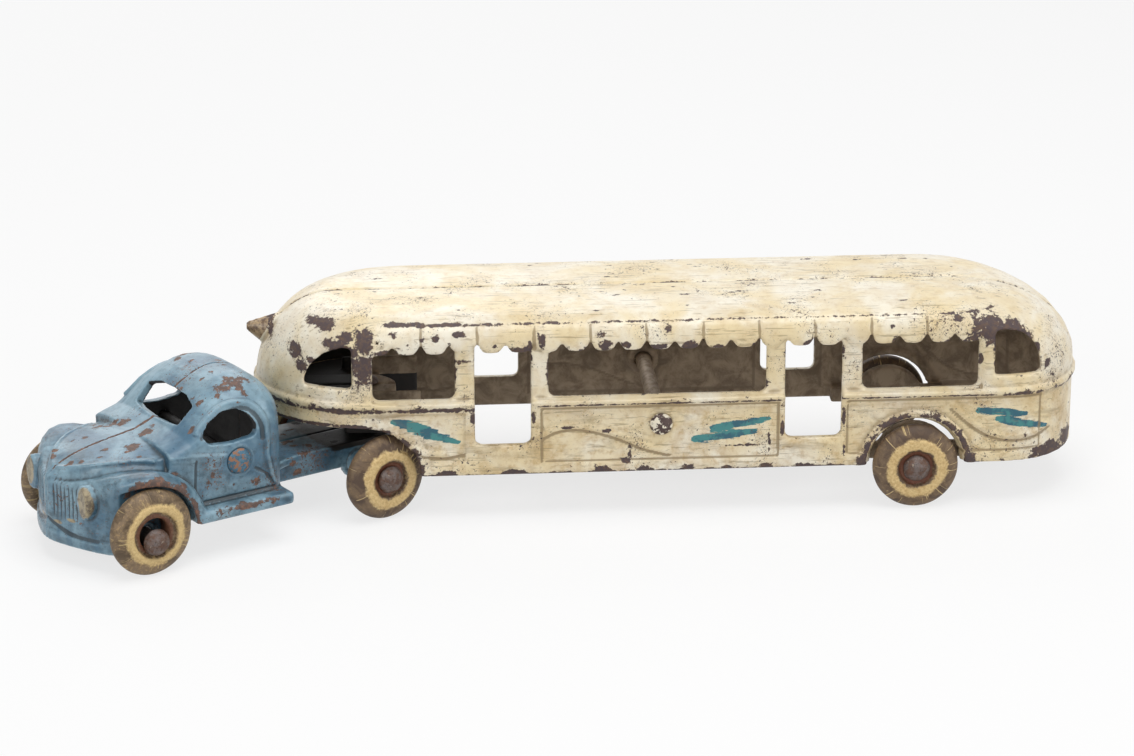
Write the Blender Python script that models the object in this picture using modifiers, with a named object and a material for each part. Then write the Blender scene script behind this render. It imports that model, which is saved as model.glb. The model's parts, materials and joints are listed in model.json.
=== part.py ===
"""Articulated cast iron toy bus: a short tractor that tows a long trailer body on six wheels.

Both castings are made of two halves that meet at the centre plane. A cross rivet and the
peened axles hold the halves together, and a kingpin joins the tractor to the trailer.
Lengths are millimetres and MM turns them into metres. +Z is up and the ground is Z = 0.
The trailer's frame has +X to the rear and its origin under the kingpin. The tractor's
frame has the same origin and is turned about the kingpin. Each casting is modelled as its
right half, at +Y, and the left half is its mirror image.
"""

import math

import bmesh
import bpy
from mathutils import Matrix, Vector

MM = 0.001

# Place of the kingpin in the world, and the tractor's turn about it at rest
KINGPIN_X = -47.9
KINGPIN_Y = 16.8
TRACTOR_YAW = math.radians(30.0)

# Clearances
CLEARANCE = 0.3
SEAM_GAP = 0.3
HOLE_CLEARANCE = 0.3
WHEEL_CLEARANCE = 0.7

# How far a joined plate reaches into what carries it, and how far out every cutter goes
WELD = 0.3
REACH_OUT = 10.0
HOLE_START = 5.0
HOLE_END = 40.0

# How far the blank of a half, what is joined to it and what cuts it reach past the centre
# plane before the half is parted there
BLANK_OVERLAP = 5.0
JOINED_OVERLAP = 4.0
CUTTER_OVERLAP = 7.0

# How far a corner may lie off the plane of its face, and the growth of a cutter that
# follows another one
FLATNESS = 0.0001
SHARP_ANGLE = math.radians(30.0)
CUTTER_GROWTH = 0.06

# Trailer body, outer sizes
HALF_WIDTH = 27.2
WALL = 2.4
SKIRT_Z = 11.3
SHOULDER_Z = 40.0
ROOF_Z = 53.0
SHOULDER_POWER = 4.8
NOSE_X = -28.0
NOSE_LENGTH = 30.0
NOSE_LEAN = 20.0
NOSE_LEAN_Z = 30.0
TAIL_X = 183.0
TAIL_LENGTH = 22.0
TAIL_POWER = 2.3
TAIL_LEAN = 34.0
TAIL_LEAN_Z = 34.0
MIDDLE_Z = 37.0
SHOULDER_STEPS = (3.0, 10.0, 20.0, 31.0, 43.0, 56.0, 70.0, 82.0)

# Trailer body, relief of the sides
BELT_Z = 30.5
BELT_HEIGHT = 1.0
BELT_PROUD = 0.8
BELT_SLOPE = 0.35
WINDOW_WALL_DEPTH = 1.0
WINDOW_WALL_START = 0.5
WINDOW_WALL_END = 156.0
AWNING_TIP_Z = 43.8
AWNING_PEAK_Z = 46.5
SCALLOP_PITCH = 7.1
SCALLOP_FIRST_PEAK = 6.2
SCALLOP_POWER = 1.3
AWNING_BACK_Z = 47.2
FLUTE_FIRST = 13.4
FLUTE_COUNT = 10
FLUTE_RADIUS = 0.9
FLUTE_DEPTH = 0.35
FLUTE_LEVELS = (48.3, 49.7, 50.8, 51.6)
FLUTE_TURN_Z = 49.0
FLUTE_DROP = 2.0
PANEL_DEPTH = 0.5
PANEL_TOP = 28.8
PANEL_BOTTOM = 14.6
PANEL_CORNER = 1.2
FRONT_PANEL_END = 25.0
FRONT_PANEL_MARGIN = 2.5
MIDDLE_PANEL = (43.3, 104.0)
REAR_PANEL = (121.0, 172.0)

# Trailer body, openings: start and end along X, and the sill
WINDOW_SILL = 31.8
WINDOWS = ((1.2, 21.8), (45.5, 100.5), (125.1, 154.5))
DOOR_SILL = 19.4
DOORS = ((26.9, 40.9), (105.5, 119.7))
OPENING_CORNER = 1.6
FRONT_QUARTER = (-4.0, 34.8, -12.0, 10.6, 1.9)
REAR_QUARTER = (158.7, 34.6, 12.2, 11.7, 2.5)
QUARTER_CORNER = 0.9
DOOR_LIP = 0.4

# Trailer body, gooseneck cut below the nose
NECK_Z = 24.6
NECK_X = -3.0
NECK_LENGTH = 16.0
NECK_POWER = 2.2
NECK_FRONT = -40.0

# Pointed lamp cover at the top of the nose: centre height, half width and half height
LAMP_TIP = (-30.3, 43.75, 1.05, 1.05)
LAMP_ROOT = (-20.5, 41.0, 4.2, 6.6)

# Wheels and axles
WHEEL_RADIUS = 11.1
WHEEL_WIDTH = 6.0
WHEEL_SIDES = 30
TREAD_ARC = 2.6
RING_RADIUS = 7.4
RING_STEP = 0.45
HUB_DEPTH = 1.1
HUB_RIM = 0.8
HUB_STEP = 1.6
HEAD_ROOM = 1.1
AXLE_RADIUS = 2.0
AXLE_HEAD_RADIUS = 3.5
AXLE_HEAD_HEIGHT = 3.0
AXLE_Z = WHEEL_RADIUS * math.cos(math.pi / WHEEL_SIDES)
TRAILER_AXLE_X = 139.0
TRAILER_HALF_TRACK = HALF_WIDTH - 0.2
TRACTOR_HALF_TRACK = 24.0
TRACTOR_REAR_AXLE_X = -9.0
TRACTOR_FRONT_AXLE_X = -76.2
WORN_HOLE = 2.2

# Wheel arch and axle carrier of the trailer
ARCH_RADIUS = 13.4
ARCH_LIFT = 0.4
ARCH_RIM = 1.9
ARCH_RIM_PROUD = 0.6
CARRIER_THICKNESS = 3.0
CARRIER_GAP = 1.0
CARRIER_Y = TRAILER_HALF_TRACK - WHEEL_WIDTH / 2 - CARRIER_GAP - CARRIER_THICKNESS
CARRIER_RADIUS = 10.0
CARRIER_STRIP_TOP = 15.5
CARRIER_REACH = 15.2
CARRIER_WEB = 2.2
CARRIER_DROP = 7.6

# Cross rivets
RIVET_X = 73.9
RIVET_Z = 24.0
RIVET_RADIUS = 2.0
RIVET_HEAD_RADIUS = 2.95
RIVET_HEAD_HEIGHT = 1.4
RIVET_BOSS_RADIUS = 4.2
RIVET_BOSS_LENGTH = 2.5
CAB_RIVET_X = -49.1
CAB_RIVET_Z = 22.8
CAB_RIVET_RADIUS = 1.6
CAB_RIVET_HEAD_RADIUS = 3.35
CAB_RIVET_HEAD_HEIGHT = 1.2

# Hitch
KINGPIN_RADIUS = 2.0
KINGPIN_HEAD_RADIUS = 3.6
KINGPIN_HEAD_HEIGHT = 2.0
KINGPIN_FOOT_RADIUS = 3.2
KINGPIN_FOOT_HEIGHT = 1.3
HITCH_PLATE_Z = 24.8
HITCH_PLATE_THICKNESS = 2.5
HITCH_PLATE_HALF_WIDTH = 8.0
HITCH_PLATE_FRONT = -26.0
HITCH_BOSS_RADIUS = 6.0
KINGPIN_HOLE_REACH = 5.0

# Tractor body
CASTING = 2.2
HOOD_FRONT_X = -92.2
WELL_X = -76.3
WELL_Z = 9.8
WELL_RADIUS = 12.9
WELL_PLANE = TRACTOR_HALF_TRACK - WHEEL_WIDTH / 2 - WHEEL_CLEARANCE
WELL_WALL = 2.0
CAB_HALF_WIDTH = 20.0
CAB_BOTTOM_Z = 9.8
CAB_SHOULDER_Z = 26.0
CAB_POWER = 3.4
BOARD_HALF_WIDTH = 24.5
BOARD_TOP = 13.0
BOARD_FRONT = -63.0
BOARD_REAR = -35.8
BOARD_CORNER = 0.9
BOARD_OVERLAP = 3.0
BUMPER_LOW = 5.3
BUMPER_HIGH = 8.1
BUMPER_PROUD = 0.7
HEADLIGHT_Y = 13.3
HEADLIGHT_Z = 18.0
GRILLE_BARS = 6
GRILLE_PITCH = 1.25
GRILLE_FIRST_Y = 2.0
GRILLE_LOW = 12.5
GRILLE_HIGH = 20.4
GRILLE_DEPTH = 0.9

# Tractor frame behind the cab
DECK_TOP = 16.8
DECK_THICKNESS = 2.0
DECK_HALF_WIDTH = 11.0
DECK_FRONT = -38.0
DECK_FLARE = 5.0
DECK_FLARE_END = -24.0
DECK_REAR = 6.0
DECK_ROUND = 10.0
RAIL_BOTTOM = 10.5
RAIL_THICKNESS = 2.0
AXLE_LUG_RADIUS = 4.6
AXLE_TUBE_RADIUS = 3.4

# Stations of the hood and front fenders, from the prow back. Each has X, the height at the
# centre, then Y and Z of the hood's crease, Y and Z of the fender's crown, the height of the
# fender's outer edge, the half width and the height of the lower edge.
HOOD_STATIONS = (
    (-92.2, 21.7, 0.5, 21.6, 0.8, 20.6, 20.2, 1.0, 8.4),
    (-91.6, 22.2, 1.1, 22.1, 1.9, 20.9, 20.2, 2.6, 7.2),
    (-90.8, 22.8, 2.1, 22.6, 3.9, 21.2, 20.1, 5.6, 6.0),
    (-89.6, 23.6, 3.7, 23.4, 6.5, 21.5, 19.9, 9.0, 5.45),
    (-88.2, 24.4, 5.4, 24.1, 9.2, 22.0, 19.8, 12.3, 5.0),
    (-86.6, 25.1, 7.4, 24.8, 12.0, 22.7, 20.4, 15.4, 4.9),
    (-84.8, 25.8, 9.0, 25.3, 14.8, 23.6, 21.6, 18.3, 4.9),
    (-82.5, 26.4, 10.6, 25.8, 17.2, 24.5, 23.0, 20.8, 5.1),
    (-79.5, 27.1, 12.4, 26.2, 19.2, 25.2, 24.1, 23.0, 5.4),
    (-76.0, 27.7, 14.0, 26.4, 20.4, 25.4, 24.3, 24.3, 5.8),
    (-72.5, 28.2, 15.4, 26.2, 20.8, 25.0, 23.4, 24.5, 6.2),
    (-69.0, 28.7, 16.5, 26.0, 20.9, 23.9, 21.7, 24.5, 7.4),
    (-66.0, 29.2, 16.6, 26.2, 20.9, 22.1, 18.7, 24.5, 8.8),
    (-63.5, 22.0, 16.6, 21.4, 20.8, 20.0, 14.8, 24.3, 10.2),
    (-61.6, 19.0, 16.6, 18.4, 20.8, 17.6, 13.2, 24.2, 10.4),
    (-60.2, 15.0, 16.6, 14.6, 20.8, 14.2, 12.4, 24.1, 10.6),
)

# Stations of the headlight, from its lens back: X, half width and half height
HEADLIGHT_STATIONS = (
    (-89.6, 2.5, 4.1),
    (-89.0, 2.9, 4.6),
    (-87.4, 2.9, 4.5),
    (-84.4, 2.3, 3.4),
    (-81.6, 1.2, 1.6),
)

# Stations of the cab roof, from the cowl back: X, the height at the centre, half width
CAB_STATIONS = (
    (-68.0, 28.6, 19.2),
    (-65.0, 29.7, 19.8),
    (-62.2, 30.8, 20.0),
    (-60.0, 33.1, 20.0),
    (-57.9, 35.4, 20.0),
    (-55.8, 37.5, 20.0),
    (-53.2, 39.1, 20.0),
    (-50.7, 40.4, 20.0),
    (-48.0, 41.4, 20.0),
    (-45.2, 41.8, 20.0),
    (-42.4, 41.5, 20.0),
    (-40.0, 40.8, 19.9),
    (-37.9, 39.6, 19.3),
    (-36.3, 38.3, 18.0),
    (-35.3, 37.0, 15.4),
)
SIDE_WINDOW = (
    (-58.7, 30.2),
    (-56.2, 33.4),
    (-52.6, 35.3),
    (-49.0, 35.8),
    (-45.6, 34.3),
    (-43.4, 31.0),
    (-43.9, 28.2),
    (-50.5, 27.6),
    (-57.0, 28.2),
)
SIDE_WINDOW_CORNER = 1.5

# Windscreen: its outline in Y and Z at WINDSCREEN_X, and the drop of the cut for each
# millimetre back
WINDSCREEN = ((0.0, 28.8), (6.5, 29.1), (10.8, 29.8), (11.3, 35.9), (6.5, 37.8), (0.0, 38.1))
WINDSCREEN_X = -57.0
WINDSCREEN_ENDS = (-66.0, -52.0)
WINDSCREEN_SLOPE = 0.5

# Finishes: colour, roughness and metallic value
CREAM_PAINT = ((0.86, 0.79, 0.60), 0.45, 0.0)
BLUE_PAINT = ((0.10, 0.22, 0.33), 0.42, 0.0)
BARE_STEEL = ((0.20, 0.16, 0.14), 0.55, 0.8)
OLD_RUBBER = ((0.55, 0.45, 0.28), 0.75, 0.0)


def new_collection(name):
    """Add a collection to the scene."""
    group = bpy.data.collections.new(name)
    bpy.context.scene.collection.children.link(group)
    return group


def new_material(name, finish):
    """Make a Principled BSDF material from a colour, a roughness and a metallic value."""
    colour, roughness, metallic = finish
    material = bpy.data.materials.new(name)
    material.use_nodes = True
    shader = material.node_tree.nodes["Principled BSDF"]
    shader.inputs["Base Color"].default_value = (*colour, 1.0)
    shader.inputs["Roughness"].default_value = roughness
    shader.inputs["Metallic"].default_value = metallic
    material.diffuse_color = (*colour, 1.0)
    return material


def add_object(name, data, group, parent):
    """Link an object to a collection, in its parent's frame."""
    item = bpy.data.objects.new(name, data)
    group.objects.link(item)
    item.parent = parent
    return item


def add_frame(name, group, location, yaw, parent=None):
    """Add an empty that carries pieces, at a place in millimetres."""
    frame = add_object(name, None, group, parent)
    frame.location = Vector(location) * MM
    frame.rotation_euler = (0.0, 0.0, yaw)
    frame.empty_display_size = 10.0 * MM
    return frame


def finished_mesh(bm, name):
    """Turn a bmesh into a mesh whose faces point out."""
    bmesh.ops.recalc_face_normals(bm, faces=bm.faces)
    mesh = bpy.data.meshes.new(name)
    bm.to_mesh(mesh)
    bm.free()
    return mesh


def is_flat(face):
    """Tell whether a face's corners lie in one plane."""
    face.normal_update()
    first = face.verts[0].co
    return all(abs(face.normal.dot(v.co - first)) < FLATNESS * MM for v in face.verts)


class Shop:
    """Makes solids for one casting: the cutters' collection and the frame they belong to."""

    def __init__(self, frame, cutters):
        self.frame = frame
        self.cutters = cutters

    def keep(self, name, mesh):
        """Store a mesh as a hidden wire object in the casting's frame."""
        item = add_object(name, mesh, self.cutters, self.frame)
        item.display_type = "WIRE"
        item.hide_render = True
        return item

    def loft(self, name, loops):
        """Skin closed loops that all have the same number of points."""
        bm = bmesh.new()
        rings = [[bm.verts.new(Vector(point) * MM) for point in loop] for loop in loops]
        count = len(rings[0])
        for low, high in zip(rings, rings[1:]):
            for k in range(count):
                following = (k + 1) % count
                bm.faces.new((low[k], low[following], high[following], high[k]))
        bm.faces.new(rings[0])
        bm.faces.new(rings[-1])
        twisted = [face for face in bm.faces if not is_flat(face)]
        bmesh.ops.triangulate(bm, faces=twisted)
        return self.keep(name, finished_mesh(bm, name))

    def plate(self, name, outline, low, high, upright=True):
        """Extrude a flat outline from low to high.

        An upright outline is given in X and Z and is extruded along Y. Any other is given
        in X and Y and is extruded along Z.
        """
        curve = bpy.data.curves.new(name, "CURVE")
        curve.dimensions = "2D"
        curve.fill_mode = "BOTH"
        curve.extrude = abs(high - low) / 2 * MM
        spline = curve.splines.new("POLY")
        spline.points.add(len(outline) - 1)
        for point, (x, y) in zip(spline.points, outline):
            point.co = (x * MM, y * MM, 0.0, 1.0)
        spline.use_cyclic_u = True
        middle = (low + high) / 2 * MM
        if upright:
            place = Matrix.Translation((0.0, middle, 0.0)) @ Matrix.Rotation(math.pi / 2, 4, "X")
        else:
            place = Matrix.Translation((0.0, 0.0, middle))
        return self.from_curve(name, curve, place)

    def rod(self, name, points, radius):
        """Make a thin round rod along a row of points."""
        curve = bpy.data.curves.new(name, "CURVE")
        curve.dimensions = "3D"
        curve.bevel_depth = radius * MM
        curve.bevel_resolution = 1
        curve.use_fill_caps = True
        spline = curve.splines.new("POLY")
        spline.points.add(len(points) - 1)
        for point, place in zip(spline.points, points):
            point.co = (*(Vector(place) * MM), 1.0)
        return self.from_curve(name, curve, Matrix.Identity(4))

    def from_curve(self, name, curve, place):
        """Turn a curve into a welded mesh, so that a Boolean can use it."""
        source = add_object(name + "_curve", curve, self.cutters, None)
        bpy.context.view_layer.update()
        graph = bpy.context.evaluated_depsgraph_get()
        mesh = bpy.data.meshes.new_from_object(source.evaluated_get(graph))
        bpy.data.objects.remove(source)
        bpy.data.curves.remove(curve)
        bm = bmesh.new()
        bm.from_mesh(mesh)
        bpy.data.meshes.remove(mesh)
        bmesh.ops.remove_doubles(bm, verts=bm.verts, dist=0.001 * MM)
        bmesh.ops.dissolve_limit(
            bm, angle_limit=math.radians(0.3), verts=bm.verts, edges=bm.edges
        )
        bmesh.ops.transform(bm, matrix=place, verts=bm.verts)
        return self.keep(name, finished_mesh(bm, name))

    def cylinder(self, name, centre, radius, low, high, axis="Y", sides=24):
        """Make a cylinder from low to high along Y or Z, about a centre in the other two."""
        bm = bmesh.new()
        bmesh.ops.create_cone(
            bm,
            cap_ends=True,
            segments=sides,
            radius1=radius * MM,
            radius2=radius * MM,
            depth=(high - low) * MM,
        )
        half_step = Matrix.Rotation(math.pi / sides, 4, "Z")
        bmesh.ops.transform(bm, matrix=half_step, verts=bm.verts)
        middle = (low + high) / 2
        if axis == "Y":
            turn = Matrix.Rotation(math.pi / 2, 4, "X")
            place = Vector((centre[0], middle, centre[1])) * MM
        else:
            turn = Matrix.Identity(4)
            place = Vector((centre[0], centre[1], middle)) * MM
        bmesh.ops.transform(bm, matrix=Matrix.Translation(place) @ turn, verts=bm.verts)
        return self.keep(name, finished_mesh(bm, name))

    def box(self, name, low, high, bevel=0.0):
        """Make a box between two corners, with its edges rounded by bevel."""
        bm = bmesh.new()
        bmesh.ops.create_cube(bm, size=1.0)
        size = (Vector(high) - Vector(low)) * MM
        middle = (Vector(high) + Vector(low)) / 2 * MM
        bmesh.ops.scale(bm, vec=size, verts=bm.verts)
        bmesh.ops.translate(bm, vec=middle, verts=bm.verts)
        if bevel:
            bmesh.ops.bevel(
                bm,
                geom=bm.edges[:],
                offset=bevel * MM,
                segments=2,
                profile=0.5,
                affect="EDGES",
            )
        return self.keep(name, finished_mesh(bm, name))

    def combine(self, target, operation, tools):
        """Add one Boolean modifier for each tool."""
        for tool in tools:
            modifier = target.modifiers.new(tool.name, "BOOLEAN")
            modifier.operation = operation
            modifier.object = tool
            modifier.solver = "EXACT"

    def part_at_centre(self, target):
        """Cut a blank at the centre plane, leaving half the seam's gap, and bake it."""
        size = 2 * TAIL_X
        low = (-size, -size, -size)
        high = (size, SEAM_GAP / 2, size)
        self.combine(target, "DIFFERENCE", [self.box(target.name + "_other_side", low, high)])
        return self.bake(target)

    def bake(self, target):
        """Return a target's shape after its Boolean modifiers, as a new mesh."""
        bpy.context.view_layer.update()
        graph = bpy.context.evaluated_depsgraph_get()
        mesh = bpy.data.meshes.new_from_object(target.evaluated_get(graph))
        bm = bmesh.new()
        bm.from_mesh(mesh)
        bpy.data.meshes.remove(mesh)
        bmesh.ops.remove_doubles(bm, verts=bm.verts, dist=0.002 * MM)
        bmesh.ops.dissolve_degenerate(bm, edges=bm.edges, dist=0.002 * MM)
        return finished_mesh(bm, target.name)


def mirrored_mesh(mesh, name):
    """Copy a mesh to the other side of the centre plane."""
    bm = bmesh.new()
    bm.from_mesh(mesh)
    bmesh.ops.scale(bm, vec=(1.0, -1.0, 1.0), verts=bm.verts)
    return finished_mesh(bm, name)


def add_halves(casting, mesh, finish, parts, frame):
    """Add the right half of a casting from its mesh, and the left half as its mirror image."""
    sides = (("right", mesh), ("left", mirrored_mesh(mesh, casting + "_left_half")))
    for side, half_mesh in sides:
        name = f"{casting}_{side}_half"
        half_mesh.name = name
        half = add_object(name, half_mesh, parts, frame)
        half.data.materials.clear()
        half.data.materials.append(new_material(name, finish))
        for polygon in half.data.polygons:
            polygon.material_index = 0
            polygon.use_smooth = True
        half.data.set_sharp_from_angle(angle=SHARP_ANGLE)


def superellipse(fraction, power):
    """Return how far a quarter superellipse still reaches at a fraction of its other axis."""
    return (1.0 - min(abs(fraction), 1.0) ** power) ** (1.0 / power)


def quarter_arc(steps, power):
    """Yield the two unit coordinates of a quarter superellipse, from its first axis."""
    for k in range(steps + 1):
        angle = math.pi / 2 * k / steps
        yield abs(math.cos(angle)) ** (2 / power), abs(math.sin(angle)) ** (2 / power)


def rounded(points, radius, steps=3):
    """Round each sharp corner of a closed outline."""
    result = []
    count = len(points)
    for k, corner in enumerate(points):
        corner = Vector(corner)
        before = Vector(points[k - 1]) - corner
        after = Vector(points[(k + 1) % count]) - corner
        if before.angle(after) > math.radians(150.0):
            result.append(tuple(corner))
            continue
        reach = min(radius, before.length / 2, after.length / 2)
        start = corner + before.normalized() * reach
        end = corner + after.normalized() * reach
        for step in range(steps + 1):
            t = step / steps
            point = start * (1 - t) ** 2 + corner * 2 * t * (1 - t) + end * t**2
            result.append(tuple(point))
    return result


def arc(centre, radius, start, end, steps):
    """Return the points of an arc between two angles in degrees."""
    points = []
    for k in range(steps + 1):
        angle = math.radians(start + (end - start) * k / steps)
        x = centre[0] + radius * math.cos(angle)
        z = centre[1] + radius * math.sin(angle)
        points.append((x, z))
    return points


def rectangle(x0, z0, x1, z1):
    """Return the corners of an upright rectangle."""
    return [(x0, z0), (x1, z0), (x1, z1), (x0, z1)]


def leaned(z, start_z, reach, inset):
    """Return how far an end of the body has leaned inward at a height."""
    if z <= start_z:
        return 0.0
    fraction = (z - start_z) / (ROOF_Z - inset - start_z)
    return (reach - inset) * (1.0 - superellipse(fraction, 2.0))


def body_loop(z, half_width, inset, overlap):
    """Return the half outline of the trailer body at one height, offset inward by inset."""
    share = half_width / (HALF_WIDTH - inset)
    nose_tip = NOSE_X + inset + leaned(z, NOSE_LEAN_Z, NOSE_LEAN, inset)
    tail_tip = TAIL_X - inset - leaned(z, TAIL_LEAN_Z, TAIL_LEAN, inset)
    nose_reach = (NOSE_LENGTH - inset) * share
    tail_reach = (TAIL_LENGTH - inset) * share
    loop = [(nose_tip, -overlap, z), (nose_tip, 0.0, z)]
    nose = list(quarter_arc(9, 2.0))[1:]
    for along, across in nose:
        loop.append((nose_tip + nose_reach * (1 - along), half_width * across, z))
    tail = list(quarter_arc(8, TAIL_POWER))[1:]
    for along, across in reversed(tail):
        loop.append((tail_tip - tail_reach * (1 - along), half_width * across, z))
    loop += [(tail_tip, 0.0, z), (tail_tip, -overlap, z)]
    return loop


def upper_levels(start, inset):
    """Yield the heights and half widths of the trailer body from a height to its roof."""
    width = HALF_WIDTH - inset
    for z in (start, TAIL_LEAN_Z, MIDDLE_Z, SHOULDER_Z):
        yield z, width
    rise = ROOF_Z - inset - SHOULDER_Z
    for degrees in SHOULDER_STEPS:
        angle = math.radians(degrees)
        up = math.sin(angle) ** (2 / SHOULDER_POWER)
        across = math.cos(angle) ** (2 / SHOULDER_POWER)
        yield SHOULDER_Z + rise * up, width * across


def outer_loops():
    """Return the outer loops of the trailer body, with the moulding below the windows."""
    half = BELT_HEIGHT / 2
    belt = (
        (SKIRT_Z, 0.0),
        (BELT_Z - half - BELT_SLOPE, 0.0),
        (BELT_Z - half, BELT_PROUD),
        (BELT_Z + half, BELT_PROUD),
    )
    loops = [body_loop(z, HALF_WIDTH + proud, -proud, BLANK_OVERLAP) for z, proud in belt]
    for z, width in upper_levels(BELT_Z + half + BELT_SLOPE, 0.0):
        loops.append(body_loop(z, width, 0.0, BLANK_OVERLAP))
    return loops


def inner_loops():
    """Return the loops of the space inside the trailer body."""
    loops = [body_loop(0.0, HALF_WIDTH - WALL, WALL, CUTTER_OVERLAP)]
    for z, width in upper_levels(NOSE_LEAN_Z, WALL):
        loops.append(body_loop(z, width, WALL, CUTTER_OVERLAP))
    return loops


def roof_edge(z):
    """Return the outer half width of the straight part of the body at a height."""
    if z <= SHOULDER_Z:
        return HALF_WIDTH
    return HALF_WIDTH * superellipse((z - SHOULDER_Z) / (ROOF_Z - SHOULDER_Z), SHOULDER_POWER)


def lamp_loops(steps=16):
    """Return the loops of the pointed lamp cover on the nose, from its tip to its root."""
    loops = []
    for x, z, across, up in (LAMP_TIP, LAMP_ROOT):
        angles = [2 * math.pi * k / steps for k in range(steps)]
        loops.append([(x, across * math.sin(a), z + up * math.cos(a)) for a in angles])
    return loops


def scallop_z(x):
    """Return the height of the awning's lower edge."""
    wave = 0.5 + 0.5 * math.cos(2 * math.pi * (x - SCALLOP_FIRST_PEAK) / SCALLOP_PITCH)
    return AWNING_TIP_Z + (AWNING_PEAK_Z - AWNING_TIP_Z) * wave**SCALLOP_POWER


def window_wall_outline():
    """Return the outline of the recessed wall between the belt and the awning."""
    bottom = BELT_Z + BELT_HEIGHT / 2 + BELT_SLOPE / 2
    outline = [(WINDOW_WALL_END, bottom), (WINDOW_WALL_START, bottom)]
    samples = 6
    step = SCALLOP_PITCH / samples
    first = math.ceil((WINDOW_WALL_START - SCALLOP_FIRST_PEAK) / step)
    last = math.floor((WINDOW_WALL_END - SCALLOP_FIRST_PEAK) / step)
    for k in range(first, last + 1):
        x = SCALLOP_FIRST_PEAK + k * step
        outline.append((x, scallop_z(x)))
    return outline


def quarter_window_outline(window):
    """Return the outline of a window with one round corner, in an end of the body."""
    x, z, length, height, power = window
    outline = [(x, z)]
    for along, up in quarter_arc(8, power):
        outline.append((x + length * along, z + height * up))
    return rounded(outline, QUARTER_CORNER)


def neck_arc(margin):
    """Return the curve of the gooseneck, set back into the body by a margin."""
    points = []
    for up, along in quarter_arc(12, NECK_POWER):
        x = NECK_X + (NECK_LENGTH + margin) * along
        z = SKIRT_Z + (NECK_Z - SKIRT_Z + margin) * up
        points.append((x, z))
    return points


def neck_outline():
    """Return the outline of the space cut away under the nose."""
    points = [(NECK_FRONT, 0.0), (NECK_FRONT, NECK_Z)]
    points += neck_arc(0.0)
    points.append((NECK_X + NECK_LENGTH, 0.0))
    return points


def front_panel_outline():
    """Return the outline of the sunk panel that follows the gooseneck."""
    curve = [p for p in neck_arc(FRONT_PANEL_MARGIN) if PANEL_BOTTOM < p[1] < PANEL_TOP - 1.5]
    start = (curve[0][0] - 1.0, PANEL_TOP)
    return [start, *curve, (curve[-1][0] + 0.3, PANEL_BOTTOM),
            (FRONT_PANEL_END, PANEL_BOTTOM), (FRONT_PANEL_END, PANEL_TOP)]


def arch_rim_outline():
    """Return the outline of the raised rim, before the wheel arch is cut through it."""
    centre = (TRAILER_AXLE_X, AXLE_Z + ARCH_LIFT)
    return arc(centre, ARCH_RADIUS + ARCH_RIM, 180.0, 0.0, 24)


def carrier_outline():
    """Return the outline of the plate that carries the trailer's axle."""
    x = TRAILER_AXLE_X
    rise = math.degrees(math.asin((CARRIER_STRIP_TOP - AXLE_Z) / CARRIER_RADIUS))
    dome = arc((x, AXLE_Z), CARRIER_RADIUS, rise, 180.0 - rise, 8)
    foot = SKIRT_Z + 0.2
    return [
        (x + CARRIER_REACH, foot),
        (x + CARRIER_REACH, CARRIER_STRIP_TOP),
        *dome,
        (x - CARRIER_REACH, CARRIER_STRIP_TOP),
        (x - CARRIER_REACH, foot),
        (x - AXLE_LUG_RADIUS, foot - 0.2),
        (x - AXLE_LUG_RADIUS * 0.6, CARRIER_DROP),
        (x + AXLE_LUG_RADIUS * 0.6, CARRIER_DROP),
        (x + AXLE_LUG_RADIUS, foot - 0.2),
    ]


def add_relief(shop, body):
    """Sink the window wall and the panels, and groove the awning between its bays."""
    recess = HALF_WIDTH - WINDOW_WALL_DEPTH
    panel = HALF_WIDTH - PANEL_DEPTH
    beyond = HALF_WIDTH + REACH_OUT
    middle = rectangle(MIDDLE_PANEL[0], PANEL_BOTTOM, MIDDLE_PANEL[1], PANEL_TOP)
    rear = rectangle(REAR_PANEL[0], PANEL_BOTTOM, REAR_PANEL[1], PANEL_TOP)
    tools = [
        shop.plate("window_wall", window_wall_outline(), recess, beyond),
        shop.plate("front_panel", rounded(front_panel_outline(), PANEL_CORNER), panel, beyond),
        shop.plate("middle_panel", rounded(middle, PANEL_CORNER), panel, beyond),
        shop.plate("rear_panel", rounded(rear, PANEL_CORNER), panel, beyond),
    ]
    outside = FLUTE_RADIUS - FLUTE_DEPTH
    for k in range(FLUTE_COUNT):
        x = FLUTE_FIRST + 2 * SCALLOP_PITCH * k
        points = [(x, HALF_WIDTH + outside, AWNING_TIP_Z - FLUTE_DROP)]
        for z in (AWNING_PEAK_Z, *FLUTE_LEVELS):
            points.append((x, roof_edge(z) + outside, z + outside * (z > FLUTE_TURN_Z)))
        tools.append(shop.rod(f"flute_{k + 1}", points, FLUTE_RADIUS))
    shop.combine(body, "DIFFERENCE", tools)


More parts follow.
